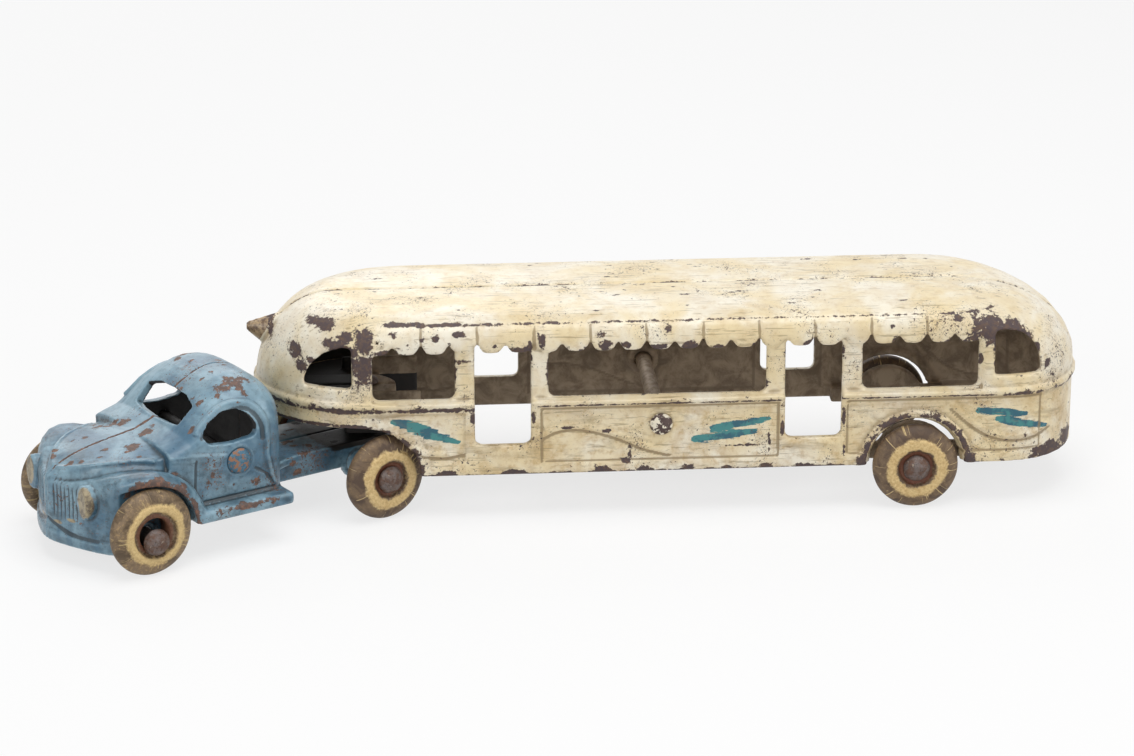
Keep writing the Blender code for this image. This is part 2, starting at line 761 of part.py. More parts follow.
def add_openings(shop, body):
    """Cut the windows, the doors, the wheel arch and the space under the nose."""
    inside = CARRIER_Y - 5.0
    behind_awning = HALF_WIDTH - WINDOW_WALL_DEPTH + 0.1
    beyond = HALF_WIDTH + REACH_OUT
    tools = []
    for k, (start, end) in enumerate(WINDOWS):
        outline = rounded(rectangle(start, WINDOW_SILL, end, AWNING_BACK_Z), OPENING_CORNER)
        tools.append(shop.plate(f"window_{k + 1}", outline, inside, behind_awning))
    for k, (start, end) in enumerate(DOORS):
        tall = rounded(rectangle(start, DOOR_SILL, end, AWNING_BACK_Z), OPENING_CORNER)
        grow = CUTTER_GROWTH
        short = rectangle(start - grow, DOOR_SILL - grow, end + grow, AWNING_TIP_Z - DOOR_LIP)
        short = rounded(short, OPENING_CORNER)
        tools.append(shop.plate(f"door_{k + 1}", tall, inside, behind_awning))
        tools.append(shop.plate(f"door_{k + 1}_front", short, behind_awning - 1.0, beyond))
    for name, window in (("front_quarter", FRONT_QUARTER), ("rear_quarter", REAR_QUARTER)):
        tools.append(shop.plate(name, quarter_window_outline(window), HOLE_START, beyond))
    tools.append(shop.plate("neck", neck_outline(), -REACH_OUT, beyond))
    centre = (TRAILER_AXLE_X, AXLE_Z + ARCH_LIFT)
    tools.append(shop.cylinder("arch", centre, ARCH_RADIUS, inside, beyond, sides=48))
    shop.combine(body, "DIFFERENCE", tools)


def add_trailer_fittings(shop, body):
    """Add the arch rim, the axle carrier, the rivet boss and the hitch plate."""
    inner_wall = HALF_WIDTH - WALL
    carrier_end = CARRIER_Y + CARRIER_THICKNESS
    wheel_inner = TRAILER_HALF_TRACK - WHEEL_WIDTH / 2
    foot = SKIRT_Z + 0.2
    axle = (TRAILER_AXLE_X, AXLE_Z)
    rivet = (RIVET_X, RIVET_Z)
    tip = arc((0.0, 0.0), HITCH_PLATE_HALF_WIDTH, 0.0, 90.0, 6)
    back = -JOINED_OVERLAP
    plate = [(HITCH_PLATE_FRONT, back), (HITCH_PLATE_HALF_WIDTH, back), *tip,
             (HITCH_PLATE_FRONT, HITCH_PLATE_HALF_WIDTH)]
    plate_top = HITCH_PLATE_Z + HITCH_PLATE_THICKNESS
    pads = [
        shop.plate("axle_carrier", carrier_outline(), CARRIER_Y, carrier_end),
        shop.cylinder("axle_pad", axle, AXLE_TUBE_RADIUS, CARRIER_Y + WELD,
                      wheel_inner - CLEARANCE),
        shop.cylinder("rivet_boss", rivet, RIVET_BOSS_RADIUS,
                      inner_wall - RIVET_BOSS_LENGTH, inner_wall + WELD, sides=20),
        shop.plate("hitch_plate", plate, HITCH_PLATE_Z, plate_top, upright=False),
    ]
    for side in (-1, 1):
        outer_edge = TRAILER_AXLE_X + side * (CARRIER_REACH - WELD)
        inner_edge = outer_edge - side * CARRIER_WEB
        low = (min(outer_edge, inner_edge), CARRIER_Y + WELD, foot + WELD)
        high = (max(outer_edge, inner_edge), inner_wall + 2 * WELD, CARRIER_STRIP_TOP - WELD)
        pads.append(shop.box(f"carrier_web_{side}", low, high))
    shop.combine(body, "UNION", pads)
    holes = [
        shop.cylinder("axle_hole", axle, AXLE_RADIUS + HOLE_CLEARANCE,
                      HOLE_START, HOLE_END, sides=16),
        shop.cylinder("rivet_hole", rivet, RIVET_RADIUS + HOLE_CLEARANCE,
                      HOLE_START, HOLE_END, sides=16),
        shop.cylinder("kingpin_hole", (0.0, 0.0), KINGPIN_RADIUS + HOLE_CLEARANCE,
                      HITCH_PLATE_Z - KINGPIN_HOLE_REACH, plate_top + KINGPIN_HOLE_REACH,
                      axis="Z", sides=16),
    ]
    shop.combine(body, "DIFFERENCE", holes)


def make_trailer_half(shop):
    """Model the right half of the trailer body and return its mesh."""
    body = shop.loft("trailer_blank", outer_loops())
    rim = shop.plate("arch_rim", arch_rim_outline(), HALF_WIDTH - 1.0,
                     HALF_WIDTH + ARCH_RIM_PROUD)
    shop.combine(body, "UNION", [shop.loft("lamp_cover", lamp_loops()), rim])
    shop.combine(body, "DIFFERENCE", [shop.loft("trailer_cavity", inner_loops())])
    add_relief(shop, body)
    add_openings(shop, body)
    add_trailer_fittings(shop, body)
    return shop.part_at_centre(body)


def hood_top(station):
    """Return Y and Z of the upper surface of the hood and the fender at a station."""
    centre_z, crease_y, crease_z, crown_y, crown_z, edge_z, half_width = station[1:8]
    span = crown_y - crease_y
    valley_y = crease_y + 0.3 * span
    valley_z = min(crease_z, crown_z) - min(0.14 * span, 0.8)
    edge = half_width - crown_y
    fall = crown_z - edge_z
    return [
        (0.0, centre_z),
        (crease_y * 0.55, centre_z - (centre_z - crease_z) * 0.35),
        (crease_y, crease_z),
        (crease_y + 0.1 * span, (crease_z + valley_z) / 2),
        (valley_y, valley_z),
        ((valley_y + crown_y) / 2, crown_z - (crown_z - valley_z) * 0.35),
        (crown_y, crown_z),
        (crown_y + edge * 0.6, crown_z - fall * 0.3),
        (crown_y + edge * 0.9, crown_z - fall * 0.7),
        (half_width, edge_z),
    ]


def hood_loops():
    """Return the outer loops of the hood and the front fenders."""
    loops = []
    for station in HOOD_STATIONS:
        x = station[0]
        half_width, bottom = station[7:]
        top = hood_top(station)
        loop = [(x, -BLANK_OVERLAP, top[0][1])]
        loop += [(x, y, z) for y, z in top]
        loop += [(x, half_width, bottom), (x, -BLANK_OVERLAP, bottom)]
        loops.append(loop)
    return loops


def hood_cavity_loops():
    """Return the loops of the space inside the hood, one wall behind the outer surface."""
    limit = WELL_PLANE - WELL_WALL
    loops = []
    for station in HOOD_STATIONS[2:13]:
        x = station[0] + CASTING
        half_width = station[7]
        reach = min(limit, half_width - CASTING)
        loop = [(x, -CUTTER_OVERLAP, station[1] - CASTING)]
        for y, z in hood_top(station)[1:6]:
            loop.append((x, y * reach / half_width, z - CASTING))
        loop += [(x, reach, 0.0), (x, -CUTTER_OVERLAP, 0.0)]
        loops.append(loop)
    return loops


def cab_loop(x, top, half_width, bottom, overlap):
    """Return one upright loop of the cab."""
    loop = [(x, -overlap, bottom), (x, half_width, bottom), (x, half_width, CAB_SHOULDER_Z)]
    rise = top - CAB_SHOULDER_Z
    for across, up in list(quarter_arc(8, CAB_POWER))[1:-1]:
        loop.append((x, half_width * across, CAB_SHOULDER_Z + rise * up))
    loop += [(x, 0.0, top), (x, -overlap, top)]
    return loop


def cab_loops():
    """Return the outer loops of the cab."""
    loops = []
    for x, top, half_width in CAB_STATIONS:
        loops.append(cab_loop(x, top, half_width, CAB_BOTTOM_Z, JOINED_OVERLAP))
    return loops


def cab_cavity_loops():
    """Return the loops of the space inside the cab, drawn in by the casting's thickness."""
    front = CAB_STATIONS[0][0] + CASTING
    rear = CAB_STATIONS[-1][0] - CASTING
    length = CAB_STATIONS[-1][0] - CAB_STATIONS[0][0]
    loops = []
    for x, top, half_width in CAB_STATIONS:
        share = (x - CAB_STATIONS[0][0]) / length
        inner_x = front + (rear - front) * share
        inner_width = min(half_width - CASTING, WELL_PLANE - WELL_WALL)
        loops.append(cab_loop(inner_x, top - CASTING, inner_width, -1.0, CUTTER_OVERLAP + 1.0))
    return loops


def bumper_outline():
    """Return the plan of the bumper, a little in front of the nose."""
    plan = [(station[0] - BUMPER_PROUD, station[7]) for station in HOOD_STATIONS[1:8]]
    front = plan[0][0] - 0.3
    rear = HOOD_STATIONS[7][0] + 2.0
    back = -JOINED_OVERLAP + 0.5
    return [(front, back), (front, 0.0), *plan, (rear, plan[-1][1] - 1.0), (rear, back)]


def deck_outline():
    """Return the plan of the deck between the cab and the hitch."""
    centre = DECK_REAR - DECK_ROUND
    back = -JOINED_OVERLAP + 1.0
    outline = [(DECK_FRONT, back), (DECK_FRONT, DECK_HALF_WIDTH + DECK_FLARE)]
    for t in (0.25, 0.5, 0.75, 1.0):
        x = DECK_FRONT + (DECK_FLARE_END - DECK_FRONT) * t
        outline.append((x, DECK_HALF_WIDTH + DECK_FLARE * (1.0 - t) ** 2))
    for across, along in list(quarter_arc(7, 2.0))[1:]:
        outline.append((centre + DECK_ROUND * along, DECK_HALF_WIDTH * across))
    outline.append((DECK_REAR, back))
    return outline


def rail_outline():
    """Return the side view of a frame rail, with its lug round the axle."""
    rise = RAIL_BOTTOM - AXLE_Z
    angle = math.degrees(math.asin(rise / AXLE_LUG_RADIUS))
    lug = arc((TRACTOR_REAR_AXLE_X, AXLE_Z), AXLE_LUG_RADIUS, 180.0 - angle, 360.0 + angle, 10)
    rear = DECK_REAR - DECK_ROUND + 2.0
    front = DECK_FRONT + 0.4
    return [(front, DECK_TOP - 0.5), (front, RAIL_BOTTOM - 0.3), *lug,
            (rear, RAIL_BOTTOM + 0.6), (rear, DECK_TOP - 0.5)]


def windscreen_loops():
    """Return the loops of the windscreen's cut, which falls towards the rear."""
    loops = []
    for x in WINDSCREEN_ENDS:
        drop = (x - WINDSCREEN_X) * WINDSCREEN_SLOPE
        loop = [(x, y, z - drop) for y, z in WINDSCREEN]
        back = -CUTTER_OVERLAP - 2.0
        loop = [(x, back, loop[0][2]), *loop, (x, back, loop[-1][2])]
        loops.append(loop)
    return loops


def headlight_loops(steps=14):
    """Return the loops of the headlight, from its lens to its tail."""
    loops = []
    for x, across, up in HEADLIGHT_STATIONS:
        angles = [2 * math.pi * k / steps for k in range(steps)]
        loop = [(x, HEADLIGHT_Y + across * math.sin(a), HEADLIGHT_Z + up * math.cos(a))
                for a in angles]
        loops.append(loop)
    return loops


def grille_cutters(shop):
    """Return narrow blocks that groove the nose between the grille's bars."""
    blocks = []
    for k in range(GRILLE_BARS):
        y = GRILLE_FIRST_Y + GRILLE_PITCH * k
        nearest = min(HOOD_STATIONS[:6], key=lambda station: abs(station[7] - y - 1.0))
        depth_x = nearest[0] + GRILLE_DEPTH
        low = (HOOD_FRONT_X - 3.0, y, GRILLE_LOW)
        high = (depth_x, y + GRILLE_PITCH * 0.5, GRILLE_HIGH)
        blocks.append(shop.box(f"grille_{k + 1}", low, high))
    return blocks


def make_tractor_half(shop):
    """Model the right half of the tractor and return its mesh."""
    beyond = BOARD_HALF_WIDTH + REACH_OUT
    boss_top = HITCH_PLATE_Z - CLEARANCE
    rear_axle = (TRACTOR_REAR_AXLE_X, AXLE_Z)
    front_axle = (TRACTOR_FRONT_AXLE_X, AXLE_Z - WORN_HOLE + HOLE_CLEARANCE)
    wheel_inner = TRACTOR_HALF_TRACK - WHEEL_WIDTH / 2
    body = shop.loft("tractor_blank", hood_loops())
    board_low = (BOARD_FRONT, CAB_HALF_WIDTH - BOARD_OVERLAP, CAB_BOTTOM_Z)
    board_high = (BOARD_REAR, BOARD_HALF_WIDTH, BOARD_TOP)
    shop.combine(body, "UNION", [
        shop.loft("cab", cab_loops()),
        shop.box("running_board", board_low, board_high, bevel=BOARD_CORNER),
        shop.plate("bumper", bumper_outline(), BUMPER_LOW, BUMPER_HIGH, upright=False),
        shop.loft("headlight", headlight_loops()),
    ])
    shop.combine(body, "DIFFERENCE", [
        shop.loft("hood_cavity", hood_cavity_loops()),
        shop.loft("cab_cavity", cab_cavity_loops()),
        shop.cylinder("wheel_well", (WELL_X, WELL_Z), WELL_RADIUS, WELL_PLANE, beyond, sides=40),
        shop.loft("windscreen", windscreen_loops()),
        shop.plate("side_window", rounded(SIDE_WINDOW, SIDE_WINDOW_CORNER),
                   WINDSCREEN[3][0] + 2.0, beyond),
        *grille_cutters(shop),
    ])
    rail_start = DECK_HALF_WIDTH - RAIL_THICKNESS
    deck_low = DECK_TOP - DECK_THICKNESS
    shop.combine(body, "UNION", [
        shop.plate("deck", deck_outline(), deck_low, DECK_TOP, upright=False),
        shop.plate("rail", rail_outline(), rail_start, DECK_HALF_WIDTH - 0.2),
        shop.cylinder("axle_tube", rear_axle, AXLE_TUBE_RADIUS,
                      rail_start + 0.5, wheel_inner - CLEARANCE, sides=20),
        shop.cylinder("axle_pad", front_axle, AXLE_TUBE_RADIUS,
                      WELL_PLANE - 1.0, wheel_inner - CLEARANCE, sides=20),
        shop.cylinder("hitch_boss", (0.0, 0.0), HITCH_BOSS_RADIUS, deck_low + 0.5, boss_top,
                      axis="Z"),
    ])
    shop.combine(body, "DIFFERENCE", [
        shop.cylinder("rear_axle_hole", rear_axle, AXLE_RADIUS + HOLE_CLEARANCE,
                      HOLE_START, HOLE_END, sides=16),
        shop.cylinder("front_axle_hole", front_axle, AXLE_RADIUS + HOLE_CLEARANCE,
                      HOLE_START, HOLE_END, sides=16),
        shop.cylinder("cab_rivet_hole", (CAB_RIVET_X, CAB_RIVET_Z),
                      CAB_RIVET_RADIUS + HOLE_CLEARANCE, HOLE_START, HOLE_END, sides=14),
        shop.cylinder("kingpin_hole", (0.0, 0.0), KINGPIN_RADIUS + HOLE_CLEARANCE,
                      0.0, boss_top + KINGPIN_HOLE_REACH, axis="Z", sides=16),
    ])
    return shop.part_at_centre(body)


def add_turned(name, profile, sides, finish, parts, parent, location, upright=False):
    """Turn a profile of radius and height with a Screw modifier.

    An upright piece turns about Z and any other about Y, with the profile's heights
    growing towards -Y.
    """
    mesh = bpy.data.meshes.new(name)
    bm = bmesh.new()
    row = [bm.verts.new((r * MM, 0.0, h * MM)) for r, h in profile]
    closed = profile[0][0] > 0.0
    last = len(row) if closed else len(row) - 1
    for k in range(last):
        bm.edges.new((row[k], row[(k + 1) % len(row)]))
    bm.to_mesh(mesh)
    bm.free()
    mesh.materials.append(new_material(name, finish))
    piece = add_object(name, mesh, parts, parent)
    piece.location = Vector(location) * MM
    if not upright:
        piece.rotation_euler = (math.pi / 2, 0.0, 0.0)
    screw = piece.modifiers.new("turn", "SCREW")
    screw.axis = "Z"
    screw.steps = sides
    screw.render_steps = sides
    screw.use_merge_vertices = True
    screw.merge_threshold = 0.01 * MM
    screw.use_smooth_shade = True
    return piece


def pin_profile(radius, half_length, head_radius, head_height):
    """Return the profile of a pin with a domed head at each end."""
    dome = []
    for up, out in quarter_arc(3, 2.0):
        dome.append((head_radius * out, half_length + head_height * (0.35 + 0.65 * up)))
    top = [*dome, (head_radius, half_length), (radius, half_length)]
    bottom = [(r, -h) for r, h in reversed(top)]
    return top + bottom


def wheel_profile(bore, hub_radius):
    """Return the closed profile of a rubber wheel, down its outer side and up its bore."""
    half = WHEEL_WIDTH / 2
    flat = half - TREAD_ARC
    shoulder = WHEEL_RADIUS - TREAD_ARC
    face = half - RING_STEP
    profile = [
        (bore, half - HUB_DEPTH),
        (hub_radius, half - HUB_DEPTH),
        (hub_radius + HUB_RIM * 0.3, half),
        (RING_RADIUS, half),
        (RING_RADIUS + 0.3, face),
    ]
    for along, out in quarter_arc(2, 2.0):
        height = flat + (face - flat) * along
        profile.append((shoulder + TREAD_ARC * out, height))
    for out, along in quarter_arc(2, 2.0):
        height = -flat - (half - flat) * along
        profile.append((shoulder + TREAD_ARC * out, height))
    profile.append((bore, -half))
    return profile


def add_axle(name, half_track, location, parts, frame):
    """Add an axle whose peened heads sit in the hubs of its two wheels."""
    reach = half_track + WHEEL_WIDTH / 2 - HUB_DEPTH + CLEARANCE
    profile = pin_profile(AXLE_RADIUS, reach, AXLE_HEAD_RADIUS, AXLE_HEAD_HEIGHT)
    add_turned(name, profile, 16, BARE_STEEL, parts, frame, location)


def add_wheels(name, x, half_track, bore, parts, frame):
    """Add the left and right wheels of one axle, each turning about its own centre."""
    hub = max(bore + HUB_STEP, AXLE_HEAD_RADIUS + HEAD_ROOM)
    profile = wheel_profile(bore, hub)
    left = add_turned(f"{name}_left_wheel", profile, WHEEL_SIDES, OLD_RUBBER, parts,
                      frame, (x, -half_track, AXLE_Z))
    right = add_turned(f"{name}_right_wheel", profile, WHEEL_SIDES, OLD_RUBBER, parts,
                       frame, (x, half_track, AXLE_Z))
    right.rotation_euler = (math.pi / 2, 0.0, math.pi)
    return left, right


def add_trailer_pins(parts, frame):
    """Add the trailer's cross rivet and the kingpin of the hitch."""
    rivet_reach = HALF_WIDTH - PANEL_DEPTH + CLEARANCE
    rivet = pin_profile(RIVET_RADIUS, rivet_reach, RIVET_HEAD_RADIUS, RIVET_HEAD_HEIGHT)
    add_turned("trailer_cross_rivet", rivet, 16, BARE_STEEL, parts, frame,
               (RIVET_X, 0.0, RIVET_Z))
    top = HITCH_PLATE_Z + HITCH_PLATE_THICKNESS + CLEARANCE
    bottom = DECK_TOP - DECK_THICKNESS - CLEARANCE
    kingpin = [
        (0.0, top + KINGPIN_HEAD_HEIGHT),
        (KINGPIN_HEAD_RADIUS * 0.6, top + KINGPIN_HEAD_HEIGHT * 0.85),
        (KINGPIN_HEAD_RADIUS * 0.9, top + KINGPIN_HEAD_HEIGHT * 0.5),
        (KINGPIN_HEAD_RADIUS, top),
        (KINGPIN_RADIUS, top),
        (KINGPIN_RADIUS, bottom),
        (KINGPIN_FOOT_RADIUS, bottom),
        (KINGPIN_FOOT_RADIUS * 0.8, bottom - KINGPIN_FOOT_HEIGHT),
        (0.0, bottom - KINGPIN_FOOT_HEIGHT),
    ]
    add_turned("kingpin", kingpin, 16, BARE_STEEL, parts, frame, (0.0, 0.0, 0.0), upright=True)


def add_cab_rivet(parts, frame):
    """Add the cross rivet through the cab's doors."""
    reach = CAB_HALF_WIDTH + CLEARANCE
    profile = pin_profile(CAB_RIVET_RADIUS, reach, CAB_RIVET_HEAD_RADIUS, CAB_RIVET_HEAD_HEIGHT)
    add_turned("tractor_cross_rivet", profile, 16, BARE_STEEL, parts, frame,
               (CAB_RIVET_X, 0.0, CAB_RIVET_Z))


def main():
    """Build the toy."""
    for item in list(bpy.data.objects):
        bpy.data.objects.remove(item)
    parts = new_collection("cast_iron_toy_bus")
    cutters = new_collection("cutters")
    kingpin_place = (KINGPIN_X, KINGPIN_Y, 0.0)
    trailer = add_frame("trailer_frame", parts, kingpin_place, 0.0)
    tractor = add_frame("tractor_frame", parts, kingpin_place, TRACTOR_YAW)
    add_halves("trailer", make_trailer_half(Shop(trailer, cutters)), CREAM_PAINT, parts, trailer)
    add_halves("tractor", make_tractor_half(Shop(tractor, cutters)), BLUE_PAINT, parts, tractor)
    add_trailer_pins(parts, trailer)
    add_cab_rivet(parts, tractor)
    close_bore = AXLE_RADIUS + HOLE_CLEARANCE
    worn_bore = AXLE_RADIUS + WORN_HOLE
    front_axle_z = AXLE_Z - WORN_HOLE + HOLE_CLEARANCE
    add_axle("trailer_axle", TRAILER_HALF_TRACK, (TRAILER_AXLE_X, 0.0, AXLE_Z), parts, trailer)
    add_axle("tractor_rear_axle", TRACTOR_HALF_TRACK,
             (TRACTOR_REAR_AXLE_X, 0.0, AXLE_Z), parts, tractor)
    add_axle("tractor_front_axle", TRACTOR_HALF_TRACK,
             (TRACTOR_FRONT_AXLE_X, 0.0, front_axle_z), parts, tractor)
    add_wheels("trailer", TRAILER_AXLE_X, TRAILER_HALF_TRACK, close_bore, parts, trailer)
    add_wheels("tractor_rear", TRACTOR_REAR_AXLE_X, TRACTOR_HALF_TRACK, close_bore,
               parts, tractor)
    add_wheels("tractor_front", TRACTOR_FRONT_AXLE_X, TRACTOR_HALF_TRACK, worn_bore,
               parts, tractor)


main()
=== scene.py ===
"""Dressed scene of an old articulated cast iron toy bus.

A short blue tractor tows a long cream trailer body on six rubber wheels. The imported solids
give every place and size. Castings, wheels and pins are dressed as new pieces that stand
for their nodes, with worn paint, bare iron, aged rubber or rusty steel. Lengths in this
file are millimetres, and MM turns them into metres. A casting's own frame has +X to the
rear, +Y to its right side and its origin under the kingpin.
"""

from __future__ import annotations

import json
import logging
import math
import random
from abc import ABC, abstractmethod
from collections.abc import Callable
from dataclasses import dataclass, field
from enum import Enum

import bmesh
import bpy
import numpy as np
from mathutils import Matrix, Vector, noise
from mathutils.bvhtree import BVHTree


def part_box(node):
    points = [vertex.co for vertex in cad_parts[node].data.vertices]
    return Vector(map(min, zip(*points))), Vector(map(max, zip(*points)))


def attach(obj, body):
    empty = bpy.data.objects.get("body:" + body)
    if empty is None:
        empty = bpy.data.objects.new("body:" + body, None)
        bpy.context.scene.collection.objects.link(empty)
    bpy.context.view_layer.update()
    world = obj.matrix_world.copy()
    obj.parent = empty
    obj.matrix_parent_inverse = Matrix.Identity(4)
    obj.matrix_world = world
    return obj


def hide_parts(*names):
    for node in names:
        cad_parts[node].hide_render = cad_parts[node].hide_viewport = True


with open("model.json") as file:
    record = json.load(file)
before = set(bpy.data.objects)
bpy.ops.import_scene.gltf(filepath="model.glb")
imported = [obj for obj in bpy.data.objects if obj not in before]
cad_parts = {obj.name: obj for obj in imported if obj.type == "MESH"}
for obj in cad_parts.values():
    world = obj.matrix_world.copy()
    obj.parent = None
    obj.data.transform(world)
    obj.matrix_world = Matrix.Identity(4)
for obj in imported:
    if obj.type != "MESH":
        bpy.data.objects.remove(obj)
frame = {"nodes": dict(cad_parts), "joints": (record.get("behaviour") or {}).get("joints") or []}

MM = 0.001
LOG = logging.getLogger("toy_bus")

Point = tuple[float, float, float]
Flat = tuple[float, float]
Colour = tuple[float, float, float]
Socket = bpy.types.NodeSocket
Value = Socket | float | tuple


def srgb(code: str) -> Colour:
    """Turn a six-digit colour code into linear light.

    Args:
        code: the red, green and blue bytes in hexadecimal.

    Returns:
        The three linear values.
    """
    values = [int(code[k : k + 2], 16) / 255 for k in (0, 2, 4)]
    linear = [v / 12.92 if v <= 0.04045 else ((v + 0.055) / 1.055) ** 2.4 for v in values]
    return (linear[0], linear[1], linear[2])


class Side(Enum):
    """The two halves of a casting, by the sign of their Y."""

    LEFT = -1
    RIGHT = 1

    @property
    def word(self) -> str:
        """Return the side's name as the nodes use it."""
        return self.name.lower()


@dataclass(frozen=True)
class Place:
    """The frame of a casting: a point on the ground under the kingpin, and a turn."""

    x: float
    y: float
    yaw: float

    def matrix(self) -> Matrix:
        """Return the turn and shift from the casting's frame to the world, in metres."""
        shift = Matrix.Translation((self.x * MM, self.y * MM, 0.0))
        return shift @ Matrix.Rotation(self.yaw, 4, "Z")

    def world(self, point: Point) -> Vector:
        """Return a point of the casting's frame in the world, in metres."""
        return self.matrix() @ (Vector(point) * MM)

    def unturned(self, vectors: np.ndarray) -> np.ndarray:
        """Turn world directions into the casting's frame.

        Args:
            vectors: one direction in each row.

        Returns:
            The same rows in the casting's frame.
        """
        c, s = math.cos(self.yaw), math.sin(self.yaw)
        turned_rows = vectors.copy()
        turned_rows[:, 0] = vectors[:, 0] * c + vectors[:, 1] * s
        turned_rows[:, 1] = -vectors[:, 0] * s + vectors[:, 1] * c
        return turned_rows

    def local(self, coords: np.ndarray) -> np.ndarray:
        """Turn world coordinates in metres into millimetres of the casting's frame."""
        return self.unturned(coords / MM - np.array([self.x, self.y, 0.0]))


def hitch_place(yaw_degrees: float) -> Place:
    """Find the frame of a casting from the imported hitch.

    Args:
        yaw_degrees: how far the casting is turned at rest.

    Returns:
        The casting's frame.
    """
    hitch = next(j for j in frame["joints"] if j["name"] == "hitch")
    x, y = (round(v / MM, 3) for v in hitch["pos_m"][:2])
    return Place(x, y, math.radians(yaw_degrees))


# Meshes


def smooth(t: np.ndarray) -> np.ndarray:
    """Ease values from 0 to 1, and hold them beyond."""
    t = np.clip(t, 0.0, 1.0)
    return t * t * (3.0 - 2.0 * t)


def arc(centre: Flat, radius: float, end: float, steps: int) -> list[Flat]:
    """Return points on an arc that starts level and turns upwards.

    Args:
        centre: the arc's centre.
        radius: its radius.
        end: the angle of its last point, in radians.
        steps: the count of its parts.

    Returns:
        One point more than there are parts.
    """
    turns = [end * k / steps for k in range(steps + 1)]
    return [(centre[0] + radius * math.cos(t), centre[1] + radius * math.sin(t)) for t in turns]


def mesh_object(name: str, mesh: bpy.types.Mesh | bpy.types.Curve) -> bpy.types.Object:
    """Link a new object.

    Args:
        name: the object's name.
        mesh: what it shows.

    Returns:
        The object, at the origin.
    """
    item = bpy.data.objects.new(name, mesh)
    bpy.context.scene.collection.objects.link(item)
    return item


def evaluated_mesh(item: bpy.types.Object) -> bpy.types.Mesh:
    """Take an object's mesh after its modifiers, and remove the object.

    Args:
        item: a helper object.

    Returns:
        The new mesh.
    """
    bpy.context.view_layer.update()
    graph = bpy.context.evaluated_depsgraph_get()
    mesh = bpy.data.meshes.new_from_object(item.evaluated_get(graph))
    bpy.data.objects.remove(item)
    return mesh


def cad_copy(node: str) -> bmesh.types.BMesh:
    """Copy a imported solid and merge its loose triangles.

    Args:
        node: the solid's name.

    Returns:
        The copy.
    """
    bm = bmesh.new()
    bm.from_mesh(frame["nodes"][node].data)
    bmesh.ops.remove_doubles(bm, verts=bm.verts, dist=1e-6)
    return bm


def add_tube(bm: bmesh.types.BMesh, points: list[Vector], radius: float) -> None:
    """Add a round ridge along a row of points.

    Args:
        bm: the mesh that takes the ridge.
        points: the row, in metres in the world.
        radius: half the ridge's width.
    """
    curve = bpy.data.curves.new("ridge", "CURVE")
    curve.dimensions = "3D"
    curve.bevel_depth = radius * MM
    curve.bevel_resolution = 2
    curve.use_fill_caps = True
    spline = curve.splines.new("POLY")
    spline.points.add(len(points) - 1)
    for target, point in zip(spline.points, points):
        target.co = (*point, 1.0)
    mesh = evaluated_mesh(mesh_object("ridge", curve))
    bm.from_mesh(mesh)
    bpy.data.meshes.remove(mesh)
    bpy.data.curves.remove(curve)


def spline_points(points: list[Point], steps: int = 6) -> list[Point]:
    """Lay a smooth row of points through the ones given.

    Args:
        points: the row to pass through.
        steps: how many parts lie between two of them.

    Returns:
        The finer row.
    """
    rows = [Vector(p) for p in points]
    rows = [2 * rows[0] - rows[1], *rows, 2 * rows[-1] - rows[-2]]
    result: list[Point] = []
    for a, b, c, d in zip(rows, rows[1:], rows[2:], rows[3:]):
        for t in (step / steps for step in range(steps)):
            point = 0.5 * (
                2 * b + (c - a) * t + (2 * a - 5 * b + 4 * c - d) * t**2
                + (3 * b - a - 3 * c + d) * t**3
            )
            result.append(tuple(point))
    result.append(tuple(rows[-2]))
    return result


def cast_mesh(bm: bmesh.types.BMesh, name: str, voxel: float, rounds: int) -> bpy.types.Mesh:
    """Fuse a mesh's pieces and soften them, as sand casting does.

    Args:
        bm: closed pieces that may overlap. It is freed.
        name: the new mesh's name.
        voxel: the grain of the result.
        rounds: how often the surface is relaxed.

    Returns:
        One closed mesh of even, small faces.
    """
    source = bpy.data.meshes.new(name + "_source")
    bm.to_mesh(source)
    bm.free()
    holder = mesh_object(name + "_source", source)
    remesh = holder.modifiers.new("fuse", "REMESH")
    remesh.mode = "VOXEL"
    remesh.voxel_size = voxel * MM
    soften = holder.modifiers.new("soften", "SMOOTH")
    soften.factor = 0.5
    soften.iterations = rounds
    mesh = evaluated_mesh(holder)
    bpy.data.meshes.remove(source)
    mesh.name = name
    return mesh


def cut_away(bm: bmesh.types.BMesh, point: Point, normal: Point) -> None:
    """Cut off what lies beyond a plane, and close the cut.

    Args:
        bm: the mesh to cut.
        point: a point of the plane.
        normal: the side that is cut off.
    """
    parts = [*bm.verts, *bm.edges, *bm.faces]
    bmesh.ops.bisect_plane(bm, geom=parts, plane_co=point, plane_no=normal, clear_outer=True)
    bmesh.ops.holes_fill(bm, edges=[e for e in bm.edges if e.is_boundary])


def join(bm: bmesh.types.BMesh, extra: bmesh.types.BMesh, matrix: Matrix) -> None:
    """Add a piece that is given in millimetres to a mesh.

    Args:
        bm: the mesh that takes the piece.
        extra: the piece. It is freed.
        matrix: turns and shifts the piece to its place in the world.
    """
    bmesh.ops.transform(extra, matrix=matrix @ Matrix.Scale(MM, 4), verts=extra.verts)
    bmesh.ops.recalc_face_normals(extra, faces=extra.faces)
    store = bpy.data.meshes.new("extra")
    extra.to_mesh(store)
    extra.free()
    bm.from_mesh(store)
    bpy.data.meshes.remove(store)


def read_rows(
    items: bpy.types.bpy_prop_collection, key: str, width: int, kind: type = np.float64
) -> np.ndarray:
    """Read a row of numbers from each item of a mesh.

    Args:
        items: the mesh's points, edges or normals.
        key: the property to read.
        width: how many numbers it holds.
        kind: the numbers' type.

    Returns:
        One row for each item.
    """
    rows = np.empty(len(items) * width, dtype=kind)
    items.foreach_get(key, rows)
    return rows.reshape(-1, width)


